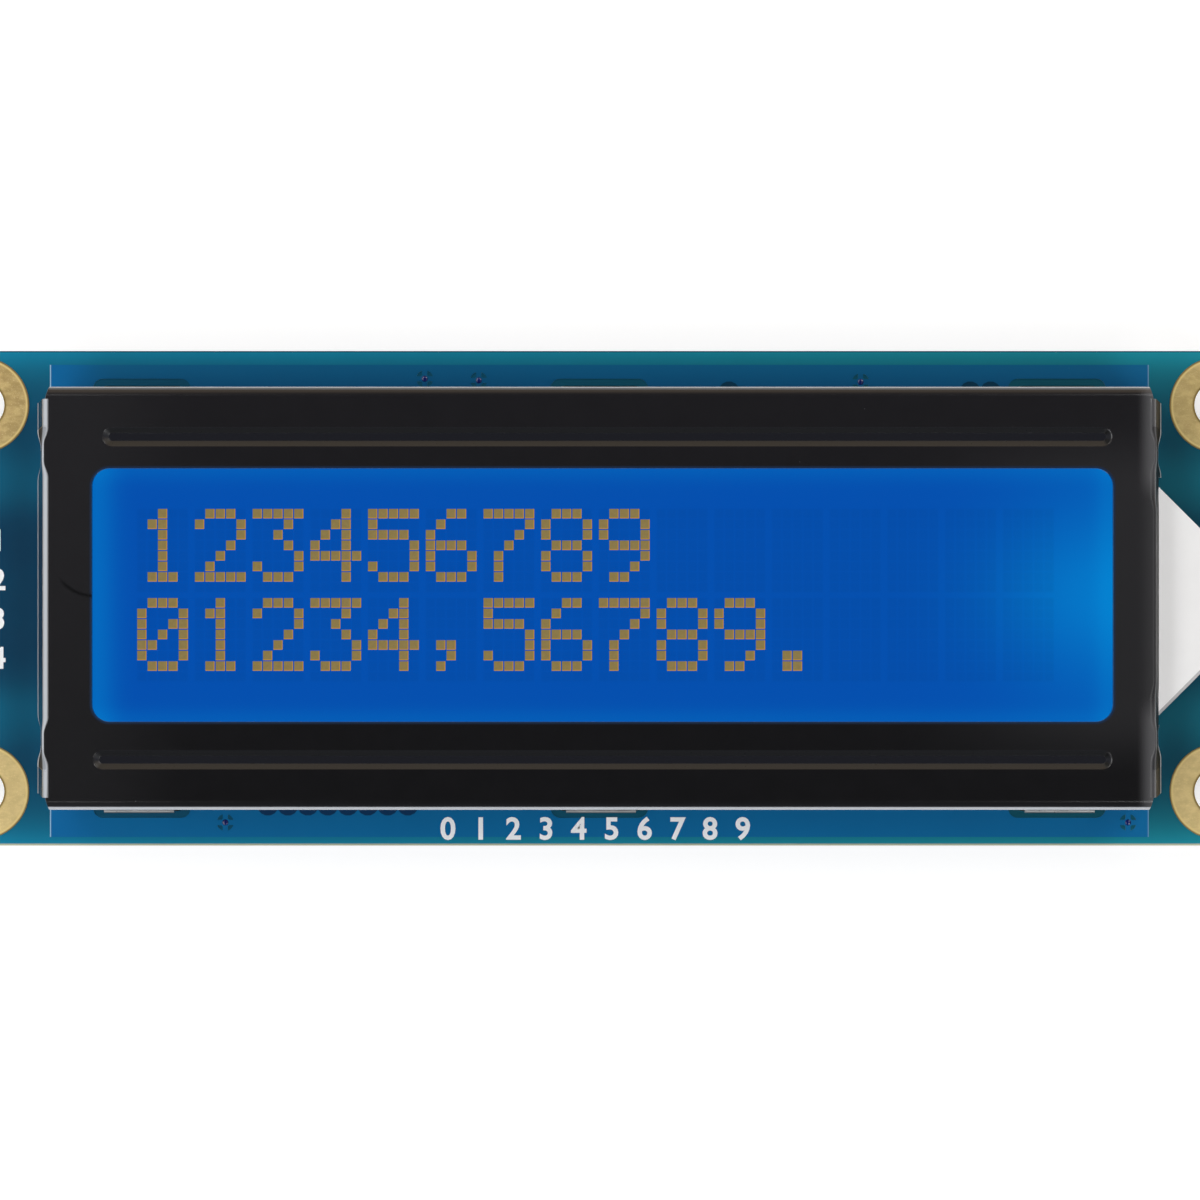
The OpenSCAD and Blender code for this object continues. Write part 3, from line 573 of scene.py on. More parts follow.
def painted_face(tree, x, y, coarse):
    """The paint of the face: a mottle with painted light towards the top, painted sheen at the ends and on
    the lugs, the window's rim with a painted blue reflection, a scuff, dust, and the grooves with painted
    light and shade on their walls.
    """
    up_y = facing(tree)[1]
    # A coarse mottle, with painted light growing towards the top of the face.
    mottle_and_painted_light = scaled(coarse, 0.5, smooth_step(y, -14.0, 14.0))
    paint = mix_of(times(mottle_and_painted_light, 0.6), (5, 5, 6), (23, 22, 25))
    # Painted sheen: lighter paint towards the right end, and less of it towards the left end.
    right_painted_sheen = times(smooth_step(x, 18.0, 33.0), 0.26)
    right_painted_sheen = times(right_painted_sheen, smooth_step(centred(y), 11.5, 7.0))
    left_painted_sheen = times(smooth_step(x, -25.0, -33.0), 0.12)
    paint = mix_of(higher(right_painted_sheen, left_painted_sheen), paint, (60, 60, 62))
    # Painted highlight along the right edge of the face, strongest over the lugs.
    lug_painted_highlight = scaled(smooth_step(centred(y), 6.0, 8.0), 0.9, 0.1)
    lug_painted_highlight = times(smooth_step(x, 33.9, 35.0), lug_painted_highlight)
    paint = mix_of(lug_painted_highlight, paint, (74, 74, 76))
    groove = placed(tree, GROOVE)["Groove"]
    paint = mix_of(groove, paint, (20, 21, 27))
    # Painted shade on the groove wall that faces -y, painted light on the wall that faces +y.
    upper_wall_painted_shade = times(groove, smooth_step(up_y, -0.1, -0.4))
    paint = mix_of(upper_wall_painted_shade, paint, (4, 4, 5))
    lower_wall_painted_light = times(groove, smooth_step(up_y, 0.1, 0.4))
    paint = mix_of(lower_wall_painted_light, paint, (22, 22, 21))
    # Painted reflection of the display's blue on the rim of the window.
    paint = mix_of(placed(tree, WINDOW_RIM_REFLECTION)["Rim"], paint, (22, 38, 62))
    arc = far_from(minus(x, -31.9), minus(y, 2.9))
    quarter = times(smooth_step(x, -34.4, -33.6), smooth_step(y, 1.6, 0.9))
    scuff = times(bell(arc, 2.75, 0.11), quarter)
    paint = mix_of(scuff, paint, (4, 4, 5))
    return mix_of(dust(tree, 2.2, 0.035), paint, (120, 120, 124)), groove


def worn_places(tree, x, z):
    """Masks of the bare foot of the end walls, which also carries a painted reflection of the floor, of the
    painted highlights along the folds, and of the painted shade on the right end walls.
    """
    # The foot: a band 1.1 mm high, partly bare cut steel and partly a painted reflection of the floor.
    foot = smooth_step(z, top_mm + FOOT_H, top_mm + FOOT_H - 0.2)
    end = smooth_step(centred(x), END_X, END_X + 0.2)
    up_x, up_y = facing(tree)[:2]
    # Painted highlights along the folds, strongest on the lower fold, less on the upper and least on the
    # left.
    near_fold = smooth_step(z, bezel_top - FOLD_H - 0.06, bezel_top - FOLD_H)
    lower_fold = times(smooth_step(times(up_y, -1.0), 0.66, 0.76), 0.74)
    left_fold = smooth_step(times(up_x, -1.0), 0.1, 0.34)
    left_fold = times(left_fold, smooth_step(x, -END_X, -END_X - 0.3))
    left_fold = times(left_fold, smooth_step(centred(up_x), 0.96, 0.86))
    upper_fold = times(smooth_step(up_y, 0.8, 0.95), 0.6)
    folds = higher(higher(lower_fold, upper_fold), times(left_fold, 0.45))
    # Painted shade on the right end walls, above the foot.
    wall = times(smooth_step(up_x, 0.85, 0.95), end)
    wall = times(wall, minus(1.0, foot))
    return times(foot, end), times(folds, near_fold), wall


def black_steel_finish():
    made, tree, look = material("black_steel", 0.3, 0.8)
    x, y, z = place_mm(tree)
    noise = grain(tree, 0.12)
    paint, groove = painted_face(tree, x, y, noise["Coarse"])
    foot, folds, wall = worn_places(tree, x, z)
    steel = mix_of(noise["Fine"], (224, 226, 230), (250, 250, 248))
    # Bare steel and painted reflection at the foot, painted shade on the right end walls, painted highlights
    # in bare-steel colour along the folds.
    tone = mix_of(foot, paint, steel)
    tone = mix_of(wall, tone, mix_of(noise["Fine"], (3, 3, 3), (8, 7, 6)))
    feed(look["Base Color"], mix_of(folds, tone, (198, 203, 210)))
    rough = scaled(noise["Fine"], 0.05, 0.11)
    slope = times(groove, smooth_step(facing(tree)[2], 0.99, 0.95))
    rough = scaled(slope, 0.15, rough)
    groove_end = times(slope, smooth_step(facing(tree)[0], -0.1, -0.4))
    rough = scaled(groove_end, 0.35, rough)
    feed(look["Metallic"], times(higher(higher(folds, groove_end), wall), 0.8))
    rough = scaled(smooth_step(x, 33.9, 35.2), 0.12, rough)
    rough = scaled(wall, 0.3, rough)
    feed(look["Roughness"], rough)
    bump(look, noise["Fine"], 0.001)
    return made


bezel.data.materials.append(black_steel_finish())
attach(bezel, "root")
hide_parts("bezel")
print("bezel painted")

# %% [markdown]
# ## The lit display
#
# Light from the nose at the right spreads through the guide behind the glass, so
# the blue field is brightest there and along the edges of the window. The field is
# drawn as light, in an Emission Color that depends on the place. The unlit cells
# and the lit dots use the same field, so it is a node group with one output: how
# far the blue moves from its calm middle towards the bright edge.

# %% Node group: the glow of the backlight
window_low = Vector((WINDOW_CENTRE - WINDOW_L, WINDOW_CENTRE - WINDOW_W))
window_high = Vector((WINDOW_CENTRE + WINDOW_L, WINDOW_CENTRE + WINDOW_W))


def make_glow():
    """A sum of soft bells: a spot at the nose, bands along the ends and the long sides."""
    tree, _, result = group("backlight_glow", {}, ["Glow"])
    x, y = place_mm(tree)[:2]
    spot = times(bell(x, window_high.x, 7.0), bell(y, WINDOW_CENTRE, 4.6))
    parts = (
        (0.60, spot),
        (0.44, bell(x, window_low.x, 1.27)),
        (0.26, bell(x, window_high.x, 0.9)),
        (0.16, bell(x, window_high.x, 5.7)),
        (0.20, bell(y, window_low.y, 0.75)),
        (0.20, bell(y, window_high.y, 0.75)),
    )
    total = 0.0
    for share, part in parts:
        total = plus(times(part, share), total)
    feed(result["Glow"], total)
    return tree


GLOW = make_glow()


def blue_light(tree):
    """The colour of the backlight behind a place of the display."""
    return mix_of(placed(tree, GLOW)["Glow"], (3, 80, 173), (3, 130, 206))


def glowing(name, brightness):
    """A dark material that gives light of the colour fed to it."""
    return material(name, 0.5, 0.0, Base_Color=(0, 0, 0, 1), Emission_Strength=brightness)


print("glow group ready")

# %% Field, cells and dots
GLASS_LOSS = 1.03


def blue_finish(name, brightness):
    """Lit blue of that brightness, for the field and for the cells at rest."""
    made, tree, look = glowing(name, brightness)
    feed(look["Emission Color"], blue_light(tree))
    return made


dress(blue_finish("liquid_crystal_field", GLASS_LOSS), "liquid_crystal")
print("field dressed")

# %% [markdown]
# ### The grid of cells
#
# The cell has sixteen places on two lines, each with five by eight dots. Even the
# resting dots show as slightly darker squares. That is 1280 squares on a regular
# grid, which is work for Geometry Nodes: one grid of points for the dots of a
# character, one for the characters, and a small plate on each point.

# %% Geometry Nodes: a grid of plates in a grid of places
COLUMNS, ROWS, PLACES, LINES = 5, 8, 16, 2
DOT_L, DOT_W = 0.58, 0.60
DOT_PITCH_X, DOT_PITCH_Y = 0.66, 0.67
PLACE_PITCH, LINE_PITCH = 3.67, 5.67


def geometry_tree(name, inputs, fed=False):
    """A geometry tree with named number inputs; a fed tree starts from a mesh."""
    tree = bpy.data.node_groups.new(name, "GeometryNodeTree")
    tree.interface.new_socket("Geometry", in_out="OUTPUT", socket_type="NodeSocketGeometry")
    if fed:
        tree.interface.new_socket("Geometry", in_out="INPUT", socket_type="NodeSocketGeometry")
    for label, value in inputs.items():
        kind = "NodeSocketInt" if isinstance(value, int) else "NodeSocketFloat"
        tree.interface.new_socket(label, in_out="INPUT", socket_type=kind).default_value = value
    return tree, tree.nodes.new("NodeGroupInput").outputs, tree.nodes.new("NodeGroupOutput").inputs


def grid_points(tree, count_x, count_y, pitch_x, pitch_y):
    """Points on a regular grid round the origin."""
    size_x = times(pitch_x, minus(count_x, 1.0))
    size_y = times(pitch_y, minus(count_y, 1.0))
    grid = add(tree, "GeometryNodeMeshGrid",
               {"Size X": size_x, "Size Y": size_y, "Vertices X": count_x, "Vertices Y": count_y})
    return add(tree, "GeometryNodeMeshToPoints", {"Mesh": grid.outputs["Mesh"]}).outputs[0]


def copies(tree, points, shape):
    """The shape on every point, as real geometry."""
    put = add(tree, "GeometryNodeInstanceOnPoints", {"Points": points, "Instance": shape})
    return add(tree, "GeometryNodeRealizeInstances", {0: put.outputs[0]}).outputs[0]


def vector(tree, x, y, z):
    return add(tree, "ShaderNodeCombineXYZ", {0: x, 1: y, 2: z}).outputs[0]


def finished(tree, result, geometry, finish):
    """Ends a tree: real geometry of one material."""
    real = add(tree, "GeometryNodeRealizeInstances", {0: geometry}).outputs[0]
    made = add(tree, "GeometryNodeSetMaterial", {"Geometry": real, "Material": finish}).outputs[0]
    feed(result["Geometry"], made)
    return tree


def make_cell_tree():
    """A plate on each dot of a character, and that character on each place of the two lines."""
    tree, given, result = geometry_tree("cell_matrix", {
        "Columns": COLUMNS, "Rows": ROWS, "Places": PLACES, "Lines": LINES,
        "Dot Length": DOT_L * MM, "Dot Width": DOT_W * MM, "Thickness": 0.005 * MM,
        "Pitch X": DOT_PITCH_X * MM, "Pitch Y": DOT_PITCH_Y * MM,
        "Place Pitch": PLACE_PITCH * MM, "Line Pitch": LINE_PITCH * MM,
        "Centre X": 0.0, "Centre Y": 0.0, "Floor": 0.0,
    })
    size = vector(tree, given["Dot Length"], given["Dot Width"], given["Thickness"])
    cells = add(tree, "GeometryNodeMeshCube", {"Size": size}).outputs["Mesh"]
    for grid in (("Columns", "Rows", "Pitch X", "Pitch Y"), ("Places", "Lines", "Place Pitch", "Line Pitch")):
        cells = copies(tree, grid_points(tree, *(given[label] for label in grid)), cells)
    lift = scaled(given["Thickness"], 0.5, given["Floor"])
    centre = vector(tree, given["Centre X"], given["Centre Y"], lift)
    moved = add(tree, "GeometryNodeTransform", {"Geometry": cells, "Translation": centre}).outputs[0]
    return finished(tree, result, moved, blue_finish("resting_cell", GLASS_LOSS * 0.93))


def grown(name, tree, values, points=(), edges=()):
    """What a geometry tree makes of those values, points and edges, as a plain mesh object."""
    seed = bpy.data.objects.new(name, bpy.data.meshes.new(name))
    seed.data.from_pydata(list(points), list(edges), [])
    bpy.context.collection.objects.link(seed)
    modifier = seed.modifiers.new("grow", "NODES")
    modifier.node_group = tree
    for item in tree.interface.items_tree:
        if item.in_out == "INPUT" and item.name in values:
            modifier[item.identifier] = values[item.name]
    bake_modifiers(seed)
    return seed


(first_left, _, dots_floor), (_, first_top, _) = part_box("lit_dots")
matrix_length = ((PLACES - 1) * PLACE_PITCH + (COLUMNS - 1) * DOT_PITCH_X + DOT_L) * MM
matrix_width = ((LINES - 1) * LINE_PITCH + (ROWS - 1) * DOT_PITCH_Y + DOT_W) * MM
cells = grown("resting_cells", make_cell_tree(), {
    "Centre X": first_left + matrix_length / 2,
    "Centre Y": first_top - matrix_width / 2,
    "Floor": dots_floor + 0.001 * MM,
})
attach(cells, "root")
print("cells:", len(cells.data.polygons) // 6)

# %% [markdown]
# ### Dots that are switched on
#
# A lit dot lets brown light through, and its thickness shows as a brighter orange
# line along its right and lower edge. The dots are one solid, so the line has to
# come from the place within each dot. The remainder after dividing by the pitch
# gives that place, first in the character, then in the dot.

# %% Finish of the lit dots
HAIR = 0.001
EDGE_START = 0.09
EDGE_FULL = 0.02


def place_in_dot(distance, place_pitch, dot_pitch):
    """How far a point is from the near side of its dot."""
    return math_of("FLOORED_MODULO", math_of("FLOORED_MODULO", distance, place_pitch), dot_pitch)


def lit_dot_finish():
    """Brown, with an orange line along the right and lower edge of each dot."""
    made, tree, look = glowing("lit_dot", GLASS_LOSS)
    x, y = place_mm(tree)[:2]
    across = place_in_dot(minus(x, first_left / MM - HAIR), PLACE_PITCH, DOT_PITCH_X)
    down = place_in_dot(minus(first_top / MM + HAIR, y), LINE_PITCH, DOT_PITCH_Y)
    brown = mix_of(grain(tree, 0.25)["Fine"], (132, 112, 68), (148, 128, 78))
    edge = higher(smooth_step(across, DOT_L - EDGE_START, DOT_L - EDGE_FULL),
                  smooth_step(down, DOT_W - EDGE_START, DOT_W - EDGE_FULL))
    feed(look["Emission Color"], mix_of(edge, brown, (188, 138, 52)))
    return made


dress(lit_dot_finish(), "lit_dots")
print("lit dots dressed")

# %% [markdown]
# ### Glass and polarisers
#
# The cell is two plates of glass with a polarising film on each side. Only the
# front film is seen, as a soft gloss over the blue. Both are clear materials with
# full transmission. The film bends light more than the glass, so the gloss is its own.

# %% Glass and films of the cell
def clear_finish(name, tint_low, tint_high, ior, specular):
    """Full transmission in a faint tint."""
    return grained(name, tint_low, tint_high, 0.6, 0.0, specular=specular, Transmission_Weight=1.0, IOR=ior)


FILM_GAP = 0.01 * MM
film = welded_copy("front_polariser", "front_film")
film_low, film_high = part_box("front_polariser")
for vertex in film.data.vertices:
    if vertex.co.z < (film_low[2] + film_high[2]) / 2:
        vertex.co.z += FILM_GAP
round_edges(film, width=0.03 * MM, segments=2, sharp_degrees=40)
bake_modifiers(film)
film.data.materials.append(clear_finish("front_film", (0.93, 0.96, 1, 1), (0.96, 0.98, 1, 1), 1.18, 0.5))
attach(film, "root")
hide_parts("front_polariser")
dress(clear_finish("cell_glass", (0.97, 0.99, 1, 1), (0.99, 1, 1, 1), 1.03, 0.0), "front_glass", "rear_glass")


def film_finish(name, dark, light, roughness):
    """A thin opaque sheet with a faint mottle."""
    made, tree, look = material(name, roughness, 0.3)
    noise = grain(tree, 0.2)
    tone = mix_of(noise["Coarse"], dark, light)
    feed(look["Base Color"], mix_of(dust(tree, 2.2, 0.05), tone, (170, 168, 160)))
    bump(look, noise["Fine"], 0.003)
    return made


dress(film_finish("rear_film", (44, 72, 120), (54, 84, 132), 0.4), "rear_polariser")
dress(film_finish("cell_seal", (196, 190, 168), (214, 208, 190), 0.5), "cell_seal")
dress(film_finish("white_film", (236, 236, 236), (242, 242, 242), 0.5),
      "diffuser_film", "reflector_film")


def nose_film_finish():
    """The film over the nose, with light from the lamp under it leaking out beside the bezel, painted as a
    glow that also lifts the bezel's shade there.
    """
    made = film_finish("nose_film", (232, 232, 232), (240, 240, 240), 0.5)
    look = made.node_tree.nodes["Principled BSDF"].inputs
    look["Emission Strength"].default_value = 1.0
    # Painted glow beside the bezel, where its shade falls on the film.
    leak_and_painted_glow = bell(place_mm(made.node_tree)[0], box_mm("bezel")[1][0] - 1.6, 2.4)
    feed(look["Emission Color"], mix_of(leak_and_painted_glow, (0, 0, 0, 1), (0.24, 0.24, 0.24, 1)))
    return made


dress(nose_film_finish(), "nose_film")
print("cell and films dressed")

# %% [markdown]
# ## Light guide, lamp and rubber strips
#
# The guide is clear acrylic, milky with the light it carries. The strips under the
# glass are rubber with hundreds of conducting layers, a fine zebra pattern along
# their length. A wave texture could draw it; a remainder of x does the same with
# hard edges.

# %% Guide, lamp and strips
STRIPE_PITCH = 0.1
SKIN_Y = 9.7


def zebra_finish():
    """Dark and pale layers along the strip, under a plain skin on its inner side."""
    made, tree, look = material("zebra_rubber", 0.6, 0.3)
    x, y = place_mm(tree)[:2]
    stripe = math_of("GREATER_THAN", math_of("FLOORED_MODULO", x, STRIPE_PITCH), STRIPE_PITCH / 2)
    middle = smooth_step(minus(math_of("ABSOLUTE", y), SKIN_Y), 0.0, 0.1)
    feed(look["Base Color"], mix_of(times(stripe, middle), (196, 176, 172), (34, 34, 36)))
    return made


dress(grained("clear_acrylic", (226, 226, 228), (240, 238, 238), 0.4, 0.15,
              specular=0.4, Transmission_Weight=0.35, IOR=1.4), "light_guide")
dress(zebra_finish(), "upper_elastomer_strip", "lower_elastomer_strip")
dress(film_finish("lamp_white", (232, 230, 222), (242, 240, 234), 0.45), "colour_lamp")
print("guide, lamp and strips dressed")

# %% [markdown]
# ## Metals and mouldings at the back
#
# Tinned leads and solder are bright and softly wrinkled, the socket is ivory nylon
# with a faint flow pattern, and the chips are black moulding compound. They differ
# in colour, metal and grain only, so the one function for grained finishes makes all.

# %% Finishes for the rear parts
tin = grained("tinned_metal", (176, 178, 180), (214, 214, 212), 0.12, 0.2, 0.25, 0.008, Metallic=0.9)
brass = grained("pin_metal", (196, 170, 104), (222, 198, 132), 0.08, 0.2, 0.2, 0.008, Metallic=0.9)
ivory = grained("socket_ivory", (226, 220, 200), (238, 234, 218), 0.08, 0.35, 0.2, 0.004, specular=0.4)
epoxy = grained("black_epoxy", (14, 14, 15), (24, 24, 26), 0.5, 0.2, 0.2, 0.02, specular=0.4)
dress(tin, "lamp_solder", "socket_anchor_top", "socket_anchor_bottom", *numbered("lamp_lead", 4))
dress(brass, *numbered("socket_pin", 4))
dress(ivory, "socket_housing")
dress(epoxy, "controller_dome")
print("metals and mouldings dressed")

# %% [markdown]
# ### Chips, resistors and capacitors
#
# Each of these is one solid with metal ends on a moulded or ceramic body. A second
# material slot can't be given to part of it without touching its mesh, so the
# material asks for the place: outside the body's box is tin, inside is moulding.

# %% Node group: inside a box, and the part finishes
def make_inside():
    """1 inside a box round a centre, measured in mm along x and y, 0 outside it."""
    labels = ("Centre X", "Centre Y", "Half X", "Half Y")
    tree, given, result = group("inside_box", dict.fromkeys(labels, 0.0), ["Inside"])
    x, y = place_mm(tree)[:2]
    sides = []
    for axis, place in (("X", x), ("Y", y)):
        away = math_of("ABSOLUTE", minus(place, given[f"Centre {axis}"]))
        sides.append(math_of("LESS_THAN", away, given[f"Half {axis}"]))
    feed(result["Inside"], times(*sides))
    return tree


INSIDE = make_inside()


def part_finish(name, trims, tones):
    """A body of one tone between tinned ends, which are as long as the trims along x and y."""
    made, tree, look = material(f"{name}_finish", 0.4, 0.4)
    body_box = {}
    for axis, low, high, trim in zip("XY", *box_mm(name), trims):
        body_box[f"Centre {axis}"] = (low + high) / 2
        body_box[f"Half {axis}"] = (high - low) / 2 - trim
    inside = placed(tree, INSIDE, body_box)["Inside"]
    noise = grain(tree, 0.1)
    body = mix_of(noise["Coarse"], *tones)
    metal = mix_of(noise["Coarse"], (186, 188, 190), (216, 216, 214))
    feed(look["Base Color"], mix_of(inside, metal, body))
    feed(look["Metallic"], scaled(inside, -METAL_SHARE, METAL_SHARE))
    feed(look["Roughness"], scaled(noise["Fine"], 0.25, 0.25))
    bump(look, noise["Fine"], 0.005)
    return made


METAL_SHARE = 0.85
NO_ENDS = -1.0
black_tones = ((24, 24, 26), (38, 38, 40))
tan_tones = ((150, 118, 80), (182, 150, 108))
families = (
    (["lamp_driver"], (1.0, NO_ENDS), black_tones),
    (["regulator"], (NO_ENDS, 0.6), black_tones),
    (numbered("level_shifter", 2), (NO_ENDS, 0.55), black_tones),
    (numbered("resistor", 6), (0.3, NO_ENDS), black_tones),
    (numbered("capacitor", 5), (0.4, NO_ENDS), tan_tones),
)
for names, trims, tones in families:
    for name in names:
        dress(part_finish(name, trims, tones), name)
print("parts dressed:", sum(len(names) for names, trims, tones in families))

# %% [markdown]
# ## Solder, pads, vias and tracks
#
# A bare board with parts set on it looks like a drawing. The real one has a tinned
# pad under each lead, a small hill of solder that climbs the metal, plated vias, and
# tracks that run between them under the mask with a dark gap on each side. All of it
# repeats, so three small geometry trees make it: one puts a flattened bead on each
# point, one a plate on each point, and one sweeps a flat strip along each path.

# %% Geometry Nodes: beads, plates and strips
PRESSED = 0.1


def make_bead_tree(name, finish):
    """A ball on each point, its far half pressed flat; Side is 1 for the front, -1 for the rear."""
    labels = ("Length", "Width", "Height", "Side")
    tree, given, result = geometry_tree(name, dict.fromkeys(labels, 0.0), fed=True)
    ball = add(tree, "GeometryNodeMeshUVSphere", {"Segments": 14, "Rings": 8, "Radius": 0.5}).outputs["Mesh"]
    place = add(tree, "ShaderNodeSeparateXYZ", {0: add(tree, "GeometryNodeInputPosition").outputs[0]}).outputs
    out = times(place[2], given["Side"])
    inner = times(math_of("MINIMUM", out, 0.0), PRESSED)
    raised = times(plus(higher(out, 0.0), inner), times(given["Side"], 2.0))
    target = vector(tree, times(place[0], given["Length"]), times(place[1], given["Width"]),
                    times(raised, given["Height"]))
    bead = add(tree, "GeometryNodeSetPosition", {"Geometry": ball, "Position": target}).outputs[0]
    return finished(tree, result, copies(tree, given["Geometry"], bead), finish)


def make_plate_tree(name, finish):
    """A flat plate centred on each point."""
    labels = ("Length", "Width", "Thickness")
    tree, given, result = geometry_tree(name, dict.fromkeys(labels, 0.0), fed=True)
    size = vector(tree, *(given[label] for label in labels))
    plate = add(tree, "GeometryNodeMeshCube", {"Size": size}).outputs["Mesh"]
    return finished(tree, result, copies(tree, given["Geometry"], plate), finish)


def make_strip_tree(name, finish):
    """A flat strip swept along each path, with its corners rounded."""
    labels = ("Width", "Thickness", "Corner")
    tree, given, result = geometry_tree(name, dict.fromkeys(labels, 0.0), fed=True)
    path = add(tree, "GeometryNodeMeshToCurve", {"Mesh": given["Geometry"]}).outputs[0]
    rounds = {"Curve": path, "Count": 3, "Radius": given["Corner"], "Limit Radius": True}
    path = add(tree, "GeometryNodeFilletCurve", rounds, mode="POLY").outputs[0]
    path = add(tree, "GeometryNodeSetCurveNormal", {"Curve": path}, mode="Z_UP").outputs[0]
    sides = {"Width": given["Width"], "Height": given["Thickness"]}
    section = add(tree, "GeometryNodeCurvePrimitiveQuadrilateral", sides).outputs[0]
    sweep = {"Curve": path, "Profile Curve": section, "Fill Caps": True}
    strip = add(tree, "GeometryNodeCurveToMesh", sweep).outputs[0]
    return finished(tree, result, strip, finish)


def set_on(piece):
    """Finishes a grown piece: it rides on the part."""
    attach(piece, "root")
    print(piece.name, "faces:", len(piece.data.polygons))
    return piece


print("three geometry trees ready")

# %% [markdown]
# ### Solder joints and their pads
#
# Where a lead meets the board follows from the parts' own boxes, so the joints are
# worked out and not typed in. A chip's leads stand at even steps along its sides; a
# resistor or capacitor has one joint at each end.

# %% Where the leads are
def row(centre, pitch, count):
    """Evenly spaced places round a centre."""
    return [centre + (i - (count - 1) / 2) * pitch for i in range(count)]


def end_joints(name):
    """The middle of each short end of a two-ended part."""
    low, high = box_mm(name)
    middle = (low[1] + high[1]) / 2
    return [(low[0], middle), (high[0], middle)]


def side_joints(name, pitch, below, above):
    """The tips of the leads of a chip with leads along its lower and upper sides."""
    low, high = box_mm(name)
    centre = (low[0] + high[0]) / 2
    sides = ((low[1], below), (high[1], above))
    return [(x, y) for y, count in sides for x in row(centre, pitch, count)]


SOT_PITCH = 0.95
DRIVER_PITCH = 0.65
driver_low, driver_high = box_mm("lamp_driver")
driver_ys = row(0.0, DRIVER_PITCH, 8)
driver_joints = [(x, y) for x in (driver_low[0], driver_high[0]) for y in driver_ys]
sot_joints = side_joints("regulator", SOT_PITCH, 3, 2)
for name in numbered("level_shifter", 2):
    sot_joints += side_joints(name, 2 * SOT_PITCH, 1, 2)
resistor_joints = [j for name in numbered("resistor", 6) for j in end_joints(name)]
capacitor_joints = [j for name in numbered("capacitor", 5) for j in end_joints(name)]
socket_pins = [box_mm(name) for name in numbered("socket_pin", 4)]
pin_joints = [(high[0] - 0.3, (low[1] + high[1]) / 2) for low, high in socket_pins]

# %% Pads and solder
solder = grained("solder", (188, 190, 192), (222, 222, 220), 0.2, 0.16, 0.2, 0.008, Metallic=0.9)
pad_tree = make_plate_tree("pads", tin)
solder_tree = make_bead_tree("solder_beads", solder)
PAD_T = 0.04
groups = (
    ("driver", driver_joints, (1.1, 0.4), (0.75, 0.36, 0.16)),
    ("sot", sot_joints, (0.6, 1.0), (0.5, 0.7, 0.18)),
    ("resistor", resistor_joints, (0.7, 0.95), (0.5, 0.8, 0.26)),
    ("capacitor", capacitor_joints, (0.9, 1.45), (0.6, 1.2, 0.42)),
    ("pin", pin_joints, (1.5, 0.9), (1.2, 0.75, 0.3)),
)


def grown_beads(name, tree, size, side, places, z=0.0):
    """Beads of that length, width and height at those places, on the front (1) or the rear (-1)."""
    values = {label: v * MM for label, v in zip(("Length", "Width", "Height"), size)}
    piece = grown(name, tree, values | {"Side": side}, [(x * MM, y * MM, z) for x, y in places])
    piece.data.shade_smooth()
    return piece


for name, joints, pad, bead in groups:
    plate = {"Length": pad[0] * MM, "Width": pad[1] * MM, "Thickness": PAD_T * MM}
    pads = grown(f"{name}_pads", pad_tree, plate, [(x * MM, y * MM, 0.0) for x, y in joints])
    set_on(pads)
    beads = grown_beads(f"{name}_solder", solder_tree, bead, -1.0, joints)
    set_on(beads)
print("joints:", sum(len(joints) for name, joints, pad, bead in groups))

# %% [markdown]
# ### Vias and tracks
#
# A tented via is a plated hole that the mask has sunk into: a small dark glossy dot.
# Tracks leave a pad straight, turn by 45 degrees and never cross on one side of the
# board. A wider, darker strip under each one stands for the gap in the copper, and
# dark discs along the edges of the front stand for the gaps round its vias.

# %% Vias
def via_finish():
    """Dark glossy mask, sunk unevenly."""
    made, tree, look = material("tented_via", 0.12, 0.6)
    noise = grain(tree, 0.1)
    feed(look["Base Color"], mix_of(noise["Fine"], (4, 16, 84), (10, 34, 110)))
    feed(look["Roughness"], scaled(noise["Fine"], 0.1, 0.08))
    bump(look, noise["Coarse"], 0.003)
    return made


via_tree = make_bead_tree("vias", via_finish())
relief_vias = [(-24.2, -14.5), (34.2, -14.5), (-11.3, 14.2), (-7.8, 14.1), (16.9, 14.0)]
front_vias = grown_beads("front_vias", via_tree, (0.4, 0.4, 0.06), 1.0, relief_vias, board_top)
set_on(front_vias)


def gap_tone(tree, x, y, coarse):
    """Mask where the copper is left away: dark, and bluer towards the lower edge."""
    return mix_of(smooth_step(y, 2.0, -2.0), mix_of(coarse, (6, 50, 74), (8, 58, 84)), (12, 52, 90))


dark_gap = mask_finish("mask_in_gap", 0.001, gap_tone)
GAP_D = 1.42
gap_places = [(x, -13.36) for x in row(-16.92, 1.293, 8)] + [(x, 13.33) for x in (8.39, 23.99, 25.31)]
gap_tree = make_bead_tree("via_gaps", dark_gap)
gaps = grown_beads("via_gaps", gap_tree, (GAP_D, GAP_D, 0.006), 1.0, gap_places, board_top)
gaps.data.shade_flat()
set_on(gaps)

DOME_X = 6.0
FAN_VIA_Y = 9.9
EDGE_VIA_Y = 15.3
fan_xs = list(zip(row(DOME_X, 0.7, 14), row(DOME_X, 1.0, 14)))
rear_places = [(wide, side * FAN_VIA_Y) for side in (-1, 1) for near, wide in fan_xs]
rear_places += [(x, side * EDGE_VIA_Y) for side in (-1, 1) for x in row(0.0, 3.8, 19)]
rear_vias = grown_beads("rear_vias", via_tree, (0.45, 0.45, 0.05), -1.0, rear_places)
set_on(rear_vias)

# %% Tracks
def joined(paths, z):
    """Points in metres at one height and the edges that join each path."""
    points, edges = [], []
    for path in paths:
        start = len(points)
        closed = path[0] == path[-1]
        count = len(path) - closed
        points += [(x * MM, y * MM, z * MM) for x, y in path[:count]]
        edges += [(start + i, start + i + 1) for i in range(count - 1)]
        if closed:
            edges.append((start + count - 1, start))
    return points, edges


